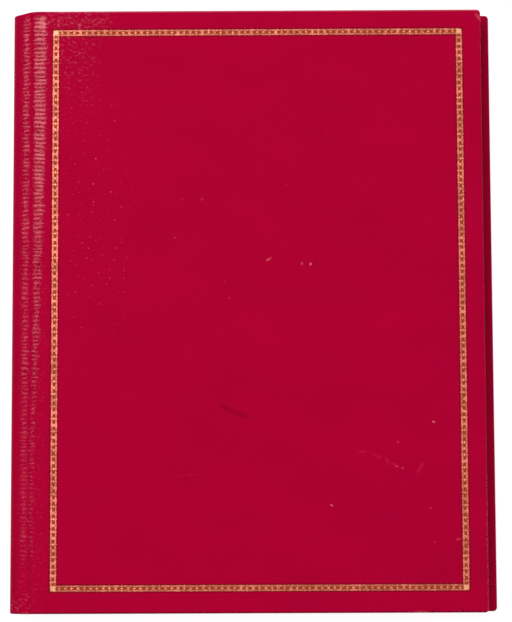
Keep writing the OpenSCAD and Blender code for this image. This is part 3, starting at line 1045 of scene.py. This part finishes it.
def leather_panel(name, outline, side, low, high, panel, material, shift=0.0):
    """A flat piece with rounded edges and a creased line, from depth low to depth high."""
    sheet = Sheet()
    radius = min(panel.edge_r, (high - low) * 0.45)
    steps = [(0.0, low, 0.4), (0.0, high - radius, 0.9)]
    steps += [(radius * (1 - math.cos(a)), high - radius * (1 - math.sin(a)), 1.0)
              for a in (math.pi / 6, math.pi / 3, math.pi / 2)]
    half_crease, plain_rim = 0.5 * MM, 1.1 * MM
    creased = ((-half_crease, 0.0), (-half_crease / 3, panel.crease_d),
               (half_crease / 3, panel.crease_d), (half_crease, 0.0), (plain_rim, 0.0))
    steps += [(panel.crease + across, high - depth, 0.0) for across, depth in creased]
    rings = [[sheet.point((x, y, world_z(side, depth)), (x + shift, y, depth), worn)
              for x, y in inset(outline, distance)] for distance, depth, worn in steps]
    sheet.stack(rings)
    return sheet.made(name, material)


def silk_panel(name, low, high, side, material):
    """A thin lining, its edges pared, with a soft rise in from them."""
    corner_r = 1.6 * MM
    rises = ((0.0, -0.3 * MM), (0.0, 0.01 * MM), (0.35 * MM, 0.09 * MM), (1.4 * MM, 0.12 * MM))
    sheet = Sheet()
    sheet.slab(panel_outline(low, high, corner_r),
               [(distance, world_z(side, COVER_T + rise)) for distance, rise in rises])
    return sheet.made(name, material)


def loop_line(low, high):
    """The pen loop's centre line, pairs of x and z, and the middle that it goes round."""
    round_steps, pasted_steps = 40, 6
    outer_r = (high.z - low.z) / 2
    centre = Vector((high.x - outer_r, (low.z + high.z) / 2))
    path_r = outer_r - LEATHER_T / 2
    seat_x = low.x + LEATHER_T / 2
    start = math.degrees(math.acos((seat_x - centre.x) / path_r))
    path = arc(*centre, path_r, start, -start, round_steps)
    pasted = path[0][1] - path[-1][1]
    path += [(seat_x, path[-1][1] + pasted * k / pasted_steps) for k in range(1, pasted_steps)]
    return path, centre


def pen_loop(low, high, material):
    """A band of leather that goes round the pen and back along the spine."""
    path, centre = loop_line(low, high)
    half_y, middle_y = (high.y - low.y) / 2, (low.y + high.y) / 2
    edge_r, edge_wear, face_wear = 0.3 * MM, 0.8, 0.1
    section = rounded_section(half_y, LEATHER_T / 2, edge_r)
    sheet = Sheet()
    rings, run = [], 0.0
    for k, (x, z) in enumerate(path):
        before, here, after = (Vector(path[(k + step) % len(path)]) for step in (-1, 0, 1))
        along = (after - before).normalized()
        out = Vector((-along.y, along.x))
        if out.dot(here - centre) < 0:
            out = -out
        run += (here - before).length if k else 0.0
        rings.append([sheet.point((x + out.x * rise, middle_y + y, z + out.y * rise),
                                  (run, middle_y + y, 0.0),
                                  edge_wear if abs(y) > half_y - edge_r else face_wear)
                      for y, rise in section])
    sheet.rows(rings + [rings[0]], closed=True)
    return sheet.made("pen_loop_leather", material, sharp=50)


def given_nodes(name, sockets):
    """A geometry node tree with named inputs, its input and output nodes made."""
    tree = bpy.data.node_groups.new(name, "GeometryNodeTree")
    tree.interface.new_socket("Geometry", in_out="INPUT", socket_type="NodeSocketGeometry")
    for label, kind in sockets:
        tree.interface.new_socket(label, in_out="INPUT", socket_type=kind)
    tree.interface.new_socket("Geometry", in_out="OUTPUT", socket_type="NodeSocketGeometry")
    return tree, tree.nodes.new("NodeGroupInput"), tree.nodes.new("NodeGroupOutput")


def tree_node(tree, kind, settings=None, inputs=None):
    """A node of a geometry tree, with its settings made and its sockets given."""
    node = tree.nodes.new(kind)
    for key, setting in (settings or {}).items():
        setattr(node, key, setting)
    for key, given in (inputs or {}).items():
        socket = node.inputs[key]
        if isinstance(given, bpy.types.Node):
            given = given.outputs[0]
        if isinstance(given, bpy.types.NodeSocket):
            tree.links.new(given, socket)
        else:
            socket.default_value = given
    return node


def laid_along(tree, lines, step, pivot):
    """Points a step apart along lines, and the rotation that turns X along the line at each."""
    curve = tree_node(tree, "GeometryNodeMeshToCurve", None, {0: lines})
    even = tree_node(tree, "GeometryNodeResampleCurve", {"mode": "LENGTH"},
                     {"Curve": curve, "Length": step})
    tangent = tree_node(tree, "GeometryNodeInputTangent")
    return even, tree_node(tree, "FunctionNodeAlignRotationToVector",
                           {"axis": "X", "pivot_axis": pivot}, {"Vector": tangent})


def end_tree(tree, instances, material, out):
    """Makes the instances real, gives them their material and ends the tree."""
    real = tree_node(tree, "GeometryNodeRealizeInstances", None, {0: instances})
    painted = tree_node(tree, "GeometryNodeSetMaterial", None,
                        {"Geometry": real, "Material": material})
    tree.links.new(painted.outputs[0], out.inputs[0])
    return tree


def with_tree(piece, tree, values):
    """The piece after the tree has run on it, as a plain mesh."""
    modifier = piece.modifiers.new(tree.name, "NODES")
    modifier.node_group = tree
    for item in tree.interface.items_tree:
        if item.item_type == "SOCKET" and item.in_out == "INPUT" and item.name in values:
            modifier[item.identifier] = values[item.name]
    return settle(piece)


def lines_object(name, lines):
    """Open lines of points as a mesh of edges."""
    points, edges = [], []
    for line in lines:
        start = len(points)
        points += [tuple(p) for p in line]
        edges += [(start + k, start + k + 1) for k in range(len(line) - 1)]
    mesh = bpy.data.meshes.new(name)
    mesh.from_pydata(points, edges, [])
    piece = bpy.data.objects.new(name, mesh)
    bpy.context.scene.collection.objects.link(piece)
    return piece


def stitch_tree():
    """Stitches laid end to end along lines, each a plump grain, a little aslant."""
    tree, given, out = given_nodes("saddle_stitches", [
        ("Pitch", "NodeSocketFloat"), ("Thread", "NodeSocketFloat"),
        ("Material", "NodeSocketMaterial")])
    pitch, thread = given.outputs["Pitch"], given.outputs["Thread"]
    lean, share = math.radians(9), 0.8
    even, aligned = laid_along(tree, given, pitch, "AUTO")
    slant = tree_node(tree, "FunctionNodeRotateRotation", {"rotation_space": "LOCAL"},
                      {"Rotation": aligned, "Rotate By": Euler((0, 0, lean))})
    grain = tree_node(tree, "GeometryNodeMeshUVSphere", None,
                      {"Segments": 8, "Rings": 6, "Radius": 0.5})
    rounded = tree_node(tree, "GeometryNodeSetShadeSmooth", None, {"Geometry": grain})
    length = tree_node(tree, "ShaderNodeMath", {"operation": "MULTIPLY"}, {0: pitch, 1: share})
    size = tree_node(tree, "ShaderNodeCombineXYZ", None, {0: length, 1: thread, 2: thread})
    placed = tree_node(tree, "GeometryNodeInstanceOnPoints", None,
                       {"Points": even, "Instance": rounded, "Rotation": slant, "Scale": size})
    return end_tree(tree, placed, given.outputs["Material"], out)


def roll_tree():
    """A motif pressed end to end along lines, as unevenly as a hand roll prints it."""
    tree, given, out = given_nodes("gilt_roll", [
        ("Motif", "NodeSocketObject"), ("Period", "NodeSocketFloat"),
        ("Unevenness", "NodeSocketFloat"), ("Material", "NodeSocketMaterial")])
    even, aligned = laid_along(tree, given, given.outputs["Period"], "Z")
    motif = tree_node(tree, "GeometryNodeObjectInfo", {"transform_space": "ORIGINAL"},
                      {"Object": given.outputs["Motif"]})
    placed = tree_node(tree, "GeometryNodeInstanceOnPoints", None,
                       {"Points": even, "Instance": motif.outputs["Geometry"],
                        "Rotation": aligned})
    chance = tree_node(tree, "FunctionNodeRandomValue", {"data_type": "FLOAT_VECTOR"},
                       {0: (-1, -1, 0), 1: (1, 1, 0), "Seed": 7})
    jitter = tree_node(tree, "ShaderNodeVectorMath", {"operation": "SCALE"},
                       {0: chance, "Scale": given.outputs["Unevenness"]})
    moved = tree_node(tree, "GeometryNodeTranslateInstances", None,
                      {"Instances": placed, "Translation": jitter})
    return end_tree(tree, moved, given.outputs["Material"], out)


def raised_plate(sheet, outline, height, bright=0.0, bevel=0.06 * MM):
    """A thin plate of gilt with a bevelled edge, standing on z = 0."""
    sheet.slab(outline, ((0.0, 0.0), (bevel, height)), bright)


def roll_motif(gilt, material):
    """One repeat of the roll: two rails, a star between them and half a bar at each end."""
    sheet = Sheet()
    half = gilt.period / 2
    out, height = gilt.width / 2, gilt.relief
    # Share of the half period, then the outer and inner edge of a rail as shares of out
    waist = ((1.06, 0.93, 0.24), (0.78, 0.93, 0.27), (0.6, 0.9, 0.36), (0.42, 0.84, 0.42),
             (0.24, 0.8, 0.44), (0.09, 0.9, 0.38), (0.0, 1.08, 0.34))
    right = [(share * half, far * out, near * out) for share, far, near in waist]
    left = [(-u, far, near) for u, far, near in right[:-1]]
    edge = left + right[::-1]
    for side in (1, -1):
        near_line = [(u, near) for u, _, near in edge]
        far_line = [(u, far) for u, far, _ in edge]
        outline = near_line + far_line[::-1]
        if side < 0:
            outline = [(u, -v) for u, v in reversed(outline)]
        raised_plate(sheet, outline, height)
    tip, notch, star_rise = 0.62 * out, 0.26 * out, 1.15
    star = [(math.cos(math.pi / 4 * k) * radius, math.sin(math.pi / 4 * k) * radius)
            for k, radius in enumerate((tip, notch) * 4)]
    raised_plate(sheet, star, height * star_rise, 0.45)
    # The bar's outline as shares of half and of out
    bar_rise = 0.92
    bar = ((1.04, -0.4), (1.04, 0.4), (0.82, 0.32), (0.76, 0.0), (0.82, -0.32))
    for side in (1, -1):
        outline = [(side * u * half, v * out) for u, v in bar][::side]
        raised_plate(sheet, outline, height * bar_rise, 0.25)
    # Each print bites a little deeper at one end
    tilt = 0.14
    sheet.points = [(u, v, z * (1 + tilt * u / half) if z > 0 else -SUNK)
                    for u, v, z in sheet.points]
    return sheet.made("roll_motif", material, sharp=20)


def corner_stamps(gilt, material, base_z):
    """A small flower stamped at each corner of the band: an eye and four petals."""
    sheet = Sheet()
    eye_r, petal_r, reach = 1.15 * MM, 0.78 * MM, 0.92 * MM
    for x in (BAND_LEFT, BAND_RIGHT):
        for y in (BAND_FOOT, BAND_HEAD):
            raised_plate(sheet, arc(x, y, eye_r, 0, 330, 11), gilt.relief * 1.3, 1.0)
            for k, centre in enumerate(arc(x, y, reach, 45, 315, 3)):
                # Petals of slightly different heights, so that no two of their faces meet
                height = gilt.relief * (1.165 + k * 0.01)
                raised_plate(sheet, arc(*centre, petal_r, 0, 324, 9), height, 0.8)
    sheet.points = [(x, y, base_z + (z if z > 0 else -SUNK)) for x, y, z in sheet.points]
    return sheet.made("gilt_corner_stamps", material, sharp=20)


def band_sides(gilt, z):
    """The four straight lines on which the roll's motifs stand, in from the corners."""
    lines = []
    corners = [Vector(corner) for corner in
               ((BAND_LEFT, BAND_FOOT), (BAND_RIGHT, BAND_FOOT), (BAND_RIGHT, BAND_HEAD),
                (BAND_LEFT, BAND_HEAD))]
    for start, end in zip(corners, corners[1:] + corners[:1]):
        step = (end - start) / round((end - start).length / gilt.period)
        lines.append([(*(start + step / 2), z), (*(end - step / 2), z)])
    return lines


def pocket_stitches(low, high, panel, depth, side):
    """The line of stitches round the foot and the two sides of a panel, open at its mouth."""
    line, mouth_gap, least_turn = panel.crease, 3.5 * MM, 0.4 * MM
    left, foot = low[0] + line, low[1] + line
    right, head = high[0] - line, high[1] - mouth_gap
    turn = max(panel.corner_r - line, least_turn)
    points = [(left, head)] + arc(left + turn, foot + turn, turn, 180, 270, 5)
    points += arc(right - turn, foot + turn, turn, 270, 360, 5) + [(right, head)]
    return [(x, y, world_z(side, depth)) for x, y in points]


def box_sides(node):
    """Lowest and highest corner of a node, as flat pairs."""
    low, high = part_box(node)
    return (low.x, low.y), (high.x, high.y)


def panel_depths(node, side):
    """Depths under the cover's outer face of a panel's hidden and shown faces."""
    low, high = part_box(node)
    return (low.z, high.z) if side == "back" else (CASE_T - high.z, CASE_T - low.z)


POCKETS = {"letter_pocket": ("front", True), "envelope_pocket": ("front", True),
           "stamp_pocket": ("front", False), "pad_sleeve": ("back", False)}


def spine_shift(case):
    """Where x of the front cover's flat lies along the hide, less the run to it."""
    last = half_section(case.hide, cover_flats("front", case.gilt))[-1]
    return HINGE_X + last.x - last.run


def split_stations(hide, flats):
    """The stations of the spine's half and those of the cover, which meet at the seam."""
    stations = half_section(hide, flats)
    seam = next(k for k, s in enumerate(stations) if s.x >= SEAM_X - 1e-9)
    return stations[:seam + 1], stations[seam:]


def bend_over(piece, bend, side, hide):
    """Bakes a strip of leather in place; the ends of its bend over the groove or the shoulder on one
    side of the spine are worked out but not used.
    """
    if bend == "groove":
        before, after = 1.8 * MM, 1.6 * MM
        near = (HINGE_X - before, 0, world_z(side, 0))
        far = (HINGE_X + after, 0, world_z(side, 0))
    else:
        centre_x, centre_depth = roll_centre(hide)
        near = (SPINE_X, 0, world_z(side, centre_depth))
        far = (HINGE_X + centre_x - hide.shoulder_r * math.sin(SLOPE), 0,
               world_z(side, centre_depth - hide.shoulder_r * math.cos(SLOPE)))
    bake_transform(piece)


def lay_strips(cover, shoulder, side, kind, hide):
    """Bakes a cover's strip and a shoulder's in place and hides the nodes that they stand for."""
    bend_over(cover, "groove", side, hide)
    bend_over(shoulder, "shoulder", side, hide)
    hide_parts(f"{side}_{kind}")
    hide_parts(f"{side}_joint_{kind}")
    if side == "back":
        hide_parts(f"spine_{kind}")


def seat(piece, body, node):
    """Makes a piece ride on a body in place of a node."""
    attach(piece, body)
    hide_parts(node)


class WRITINGCASE_OT_stage(Operator):
    """Camera, floor, lamp and surroundings"""
    bl_idname = "writingcase.stage"
    bl_label = "Stage"
    bl_options = {"REGISTER", "UNDO"}

    def execute(self, context):
        scene = context.scene
        stage = scene.writing_case.stage
        lens = bpy.data.cameras.new("camera")
        lens.lens = stage.lens
        camera = bpy.data.objects.new("camera", lens)
        turn = Euler(stage.turn)
        away = Vector((0, 0, stage.distance))
        away.rotate(turn)
        camera.location = Vector(stage.target) + away
        camera.rotation_euler = turn
        lens.clip_start = 0.05
        scene.collection.objects.link(camera)
        scene.camera = camera
        scene.view_settings.view_transform = "Standard"
        self.make_world(stage)
        self.make_floor(stage)
        self.make_lamp(stage)
        return {"FINISHED"}

    def make_world(self, stage):
        """Even light from all sides, and white where it is seen."""
        finish = Finish("surroundings", "worlds")
        strength = finish.seen_directly() * (1 - stage.fill) + stage.fill
        light = finish.node("ShaderNodeBackground", None,
                            {"Color": (1, 1, 1, 1), "Strength": strength})
        finish.node("ShaderNodeOutputWorld", None, {"Surface": light})
        bpy.context.scene.world = finish.made

    def make_floor(self, stage):
        """White paper that keeps the shadow but is lifted towards white where it is seen."""
        finish = Finish("white_floor")
        paper = finish.node("ShaderNodeBsdfDiffuse", None, {"Color": (0.86, 0.86, 0.86, 1)})
        lift = finish.node("ShaderNodeEmission", None,
                           {"Color": (1, 1, 1, 1), "Strength": stage.lift})
        mixed = finish.node("ShaderNodeMixShader", None,
                            {0: finish.seen_directly() * stage.lift_share, 1: paper, 2: lift})
        finish.node("ShaderNodeOutputMaterial", None, {"Surface": mixed})
        half, drop = 6.0, 0.3 * MM
        sheet = Sheet()
        sheet.faces.append([sheet.point((x * half, y * half, -drop), (0, 0, 0))
                            for x, y in ((-1, -1), (1, -1), (1, 1), (-1, 1))])
        sheet.made("floor", finish.made, (0, 0, 1))

    def make_lamp(self, stage):
        """A broad soft lamp over the head of the case, to the left."""
        lamp = bpy.data.lights.new("soft_lamp", "AREA")
        lamp.shape = "RECTANGLE"
        lamp.size, lamp.size_y = 1.6, 1.1
        lamp.energy = stage.key
        place = bpy.data.objects.new("soft_lamp", lamp)
        place.location = (-0.7, 0.6, 1.6)
        place.rotation_euler = (-place.location).to_track_quat("-Z", "Y").to_euler()
        bpy.context.scene.collection.objects.link(place)


class WRITINGCASE_OT_cover_leather(Operator):
    """Crimson hide over both covers and the spine"""
    bl_idname = "writingcase.cover_leather"
    bl_label = "Cover leather"
    bl_options = {"REGISTER", "UNDO"}

    def execute(self, context):
        case = context.scene.writing_case
        shift = spine_shift(case)
        material = cover_leather(case.hide, shift / MM)
        for side in ("back", "front"):
            rolled, flat = split_stations(case.hide, cover_flats(side, case.gilt))
            cover = hide_sheet(f"{side}_hide", flat, side, case, shift, material)
            shoulder = hide_sheet(f"{side}_shoulder_hide", rolled, side, case, shift, material)
            lay_strips(cover, shoulder, side, "leather", case.hide)
        return {"FINISHED"}


class WRITINGCASE_OT_gutter_leather(Operator):
    """Leather strip over the inside of the spine"""
    bl_idname = "writingcase.gutter_leather"
    bl_label = "Gutter leather"
    bl_options = {"REGISTER", "UNDO"}

    def execute(self, context):
        case = context.scene.writing_case
        shift = spine_shift(case)
        material = inner_leather("gutter_leather", shade(case.panel.colour, 1.05))
        thin_x = LAP_X - LAP_SKIVE
        flats = groove_flats() + spread(GROOVE_END, thin_x, 2 * MM) + [thin_x, LAP_X]
        rolled, flat = split_stations(case.hide, flats)
        for side in ("back", "front"):
            cover = gutter_sheet(f"{side}_gutter_leather", flat, side, case.hide, shift, material)
            shoulder = gutter_sheet(f"{side}_shoulder_gutter", rolled, side, case.hide, shift,
                                    material)
            lay_strips(cover, shoulder, side, "gutter", case.hide)
        return {"FINISHED"}


class WRITINGCASE_OT_boards(Operator):
    """Card of the boards, and leather on the gussets"""
    bl_idname = "writingcase.boards"
    bl_label = "Boards and gussets"
    bl_options = {"REGISTER", "UNDO"}

    def execute(self, context):
        case = context.scene.writing_case
        card = grey_card(case.pad)
        gusset = inner_leather("gusset_leather", shade(case.panel.colour, 0.85), mapped=False)
        for node in ("back_board", "front_board", "letter_gusset", "envelope_gusset",
                     "stamp_gusset", "sleeve_gusset"):
            for slot in frame["nodes"][node].material_slots:
                slot.material = card if node.endswith("board") else gusset
        return {"FINISHED"}


class WRITINGCASE_OT_linings(Operator):
    """Watered silk inside both covers"""
    bl_idname = "writingcase.linings"
    bl_label = "Silk linings"
    bl_options = {"REGISTER", "UNDO"}

    def execute(self, context):
        case = context.scene.writing_case
        material = watered_silk(case.lining)
        lap = case.lining.overlap
        for side in ("back", "front"):
            low, high = box_sides(f"{side}_lining")
            piece = silk_panel(f"{side}_silk", (low[0] - lap, low[1] - lap),
                               (high[0] + lap, high[1] + lap), side, material)
            seat(piece, f"{side}_cover", f"{side}_lining")
        return {"FINISHED"}


class WRITINGCASE_OT_gilt_border(Operator):
    """Gilt roll round the front cover, with its corner stamps"""
    bl_idname = "writingcase.gilt_border"
    bl_label = "Gilt border"
    bl_options = {"REGISTER", "UNDO"}

    def execute(self, context):
        case = context.scene.writing_case
        gilt = case.gilt
        material = gold_leaf(gilt)
        ground = CASE_T - gilt.press
        motif = roll_motif(gilt, material)
        border = lines_object("gilt_roll", band_sides(gilt, ground))
        # A step just under the period, so that no line loses its last motif
        step, unevenness = gilt.period * 0.985, 0.05 * MM
        with_tree(border, roll_tree(), {"Motif": motif, "Period": step,
                                        "Unevenness": unevenness, "Material": material})
        bpy.data.objects.remove(motif)
        stamps = corner_stamps(gilt, material, ground)
        for piece in (border, stamps):
            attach(piece, "front_cover")
        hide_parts("gilt_border")
        return {"FINISHED"}


class WRITINGCASE_OT_pockets(Operator):
    """Pockets inside the front cover, and the sleeve that holds the pad"""
    bl_idname = "writingcase.pockets"
    bl_label = "Pockets and sleeve"
    bl_options = {"REGISTER", "UNDO"}

    def execute(self, context):
        case = context.scene.writing_case
        panel = case.panel
        material = inner_leather("pocket_leather", panel.colour)
        # Each panel is cut from another place on the skin
        apart = 0.31
        for index, (node, (side, notched)) in enumerate(POCKETS.items()):
            low, high = box_sides(node)
            outline = panel_outline(low, high, panel.corner_r, panel.notch_r if notched else 0.0)
            hidden, shown = panel_depths(node, side)
            piece = leather_panel(f"{node}_face", outline, side, hidden, shown, panel, material,
                                  shift=index * apart)
            seat(piece, f"{side}_cover", node)
        return {"FINISHED"}


class WRITINGCASE_OT_stitches(Operator):
    """Stitches round the pockets and the sleeve"""
    bl_idname = "writingcase.stitches"
    bl_label = "Stitches"
    bl_options = {"REGISTER", "UNDO"}

    def execute(self, context):
        case = context.scene.writing_case
        panel = case.panel
        material = twisted_thread(panel)
        tree = stitch_tree()
        lines, sunk = {"front": [], "back": []}, 0.04 * MM
        for node, (side, _) in POCKETS.items():
            low, high = box_sides(node)
            depth = panel_depths(node, side)[1] - panel.crease_d + sunk
            lines[side].append(pocket_stitches(low, high, panel, depth, side))
        for side, paths in lines.items():
            piece = lines_object(f"{side}_stitches", paths)
            with_tree(piece, tree, {"Pitch": panel.pitch, "Thread": panel.thread_d,
                                    "Material": material})
            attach(piece, f"{side}_cover")
        return {"FINISHED"}


class WRITINGCASE_OT_pen_loop(Operator):
    """Loop that holds a slim pen in the gutter"""
    bl_idname = "writingcase.pen_loop"
    bl_label = "Pen loop"
    bl_options = {"REGISTER", "UNDO"}

    def execute(self, context):
        case = context.scene.writing_case
        material = inner_leather("loop_leather", case.panel.colour)
        piece = pen_loop(*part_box("pen_loop"), material)
        seat(piece, "spine", "pen_loop")
        return {"FINISHED"}


class WRITINGCASE_OT_writing_pad(Operator):
    """Card, paper and binding of the writing pad"""
    bl_idname = "writingcase.writing_pad"
    bl_label = "Writing pad"
    bl_options = {"REGISTER", "UNDO"}

    def execute(self, context):
        case = context.scene.writing_case
        seat(self.make_card(), "writing_pad", "pad_card")
        seat(self.make_paper(case.pad), "writing_pad", "pad_paper")
        seat(self.make_binding(case.pad), "writing_pad", "pad_binding")
        return {"FINISHED"}

    def make_card(self):
        """The card that slides into the sleeve, of the same stock as the boards."""
        low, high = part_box("pad_card")
        corner_r, soft = 1.2 * MM, 0.12 * MM
        sheet = Sheet()
        sheet.slab(panel_outline(low, high, corner_r),
                   ((soft, low.z), (0.0, low.z + soft), (0.0, high.z - soft), (soft, high.z)))
        return sheet.made("pad_card_sheet", bpy.data.materials["grey_card"])

    def make_paper(self, pad):
        """A block of sheets, each a little in or out of line with its neighbours."""
        low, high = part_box("pad_paper")
        leaf = (high.z - low.z) / pad.sheets
        most_slack, bound, parting = 0.35 * MM, 0.02 * MM, 0.08
        by_leaf, by_side, seed = 0.37, 5.3, 1.1
        sheet = Sheet()
        rings = []
        for k in range(pad.sheets):
            at_left, at_foot, at_right = (
                abs(noise.noise(Vector((k * by_leaf, side * by_side, seed)))) * most_slack
                for side in range(3))
            left, right = low.x + at_left, high.x - at_right
            foot, head = low.y + at_foot, high.y - bound
            for z in (low.z + leaf * (k + parting), low.z + leaf * (k + 1 - parting)):
                rings.append([sheet.point((x, y, z), (x, y, 0)) for x, y in
                              ((left, foot), (right, foot), (right, head), (left, head))])
        sheet.stack(rings)
        return sheet.made("paper_block", writing_paper(pad), sharp=20)

    def make_binding(self, pad):
        """Cloth tape from the card over the head of the block to its top sheet."""
        card_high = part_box("pad_card")[1]
        paper_low, paper_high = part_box("pad_paper")
        low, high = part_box("pad_binding")
        tape = high.z - paper_high.z
        roll, slant = 0.9 * MM, 0.15 * MM
        section = [(low.y, card_high.z), (card_high.y, card_high.z), (card_high.y, low.z),
                   (high.y, low.z)]
        section += arc(high.y - roll, high.z - roll, roll, 0, 90, 6)
        section += [(low.y + slant, high.z), (low.y, high.z - tape / 2),
                    (low.y, paper_high.z), (paper_high.y, paper_high.z),
                    (paper_high.y, paper_low.z), (low.y, paper_low.z)]
        sheet = Sheet()
        sheet.stack([[sheet.point((x, y, z), (x, y, z)) for y, z in section]
                     for x in (low.x, high.x)])
        return sheet.made("pad_binding_tape", book_cloth(pad), sharp=40)


OPERATORS = (WRITINGCASE_OT_stage, WRITINGCASE_OT_cover_leather, WRITINGCASE_OT_gutter_leather,
             WRITINGCASE_OT_boards, WRITINGCASE_OT_linings, WRITINGCASE_OT_gilt_border,
             WRITINGCASE_OT_pockets, WRITINGCASE_OT_stitches, WRITINGCASE_OT_pen_loop,
             WRITINGCASE_OT_writing_pad)


class WRITINGCASE_PT_maker(Panel):
    """Lists the pieces of the writing case"""
    bl_idname = "WRITINGCASE_PT_maker"
    bl_label = "Writing Case"
    bl_space_type = "VIEW_3D"
    bl_region_type = "UI"
    bl_category = "Writing Case"

    def draw(self, context):
        for operator in OPERATORS:
            self.layout.operator(operator.bl_idname)
        case = context.scene.writing_case
        for group in ("hide", "gilt", "panel", "lining", "pad", "stage"):
            box = self.layout.box()
            values = getattr(case, group)
            for name in values.__annotations__:
                box.prop(values, name)


CLASSES = (HideSettings, GiltSettings, PanelSettings, LiningSettings, PadSettings,
           StageSettings, CaseSettings, *OPERATORS, WRITINGCASE_PT_maker)


def register():
    for item in CLASSES:
        bpy.utils.register_class(item)
    bpy.types.Scene.writing_case = PointerProperty(type=CaseSettings)


def unregister():
    del bpy.types.Scene.writing_case
    for item in reversed(CLASSES):
        bpy.utils.unregister_class(item)


def main():
    register()
    for operator in OPERATORS:
        group, name = operator.bl_idname.split(".")
        getattr(getattr(bpy.ops, group), name)()


if __name__ == "__main__":
    main()
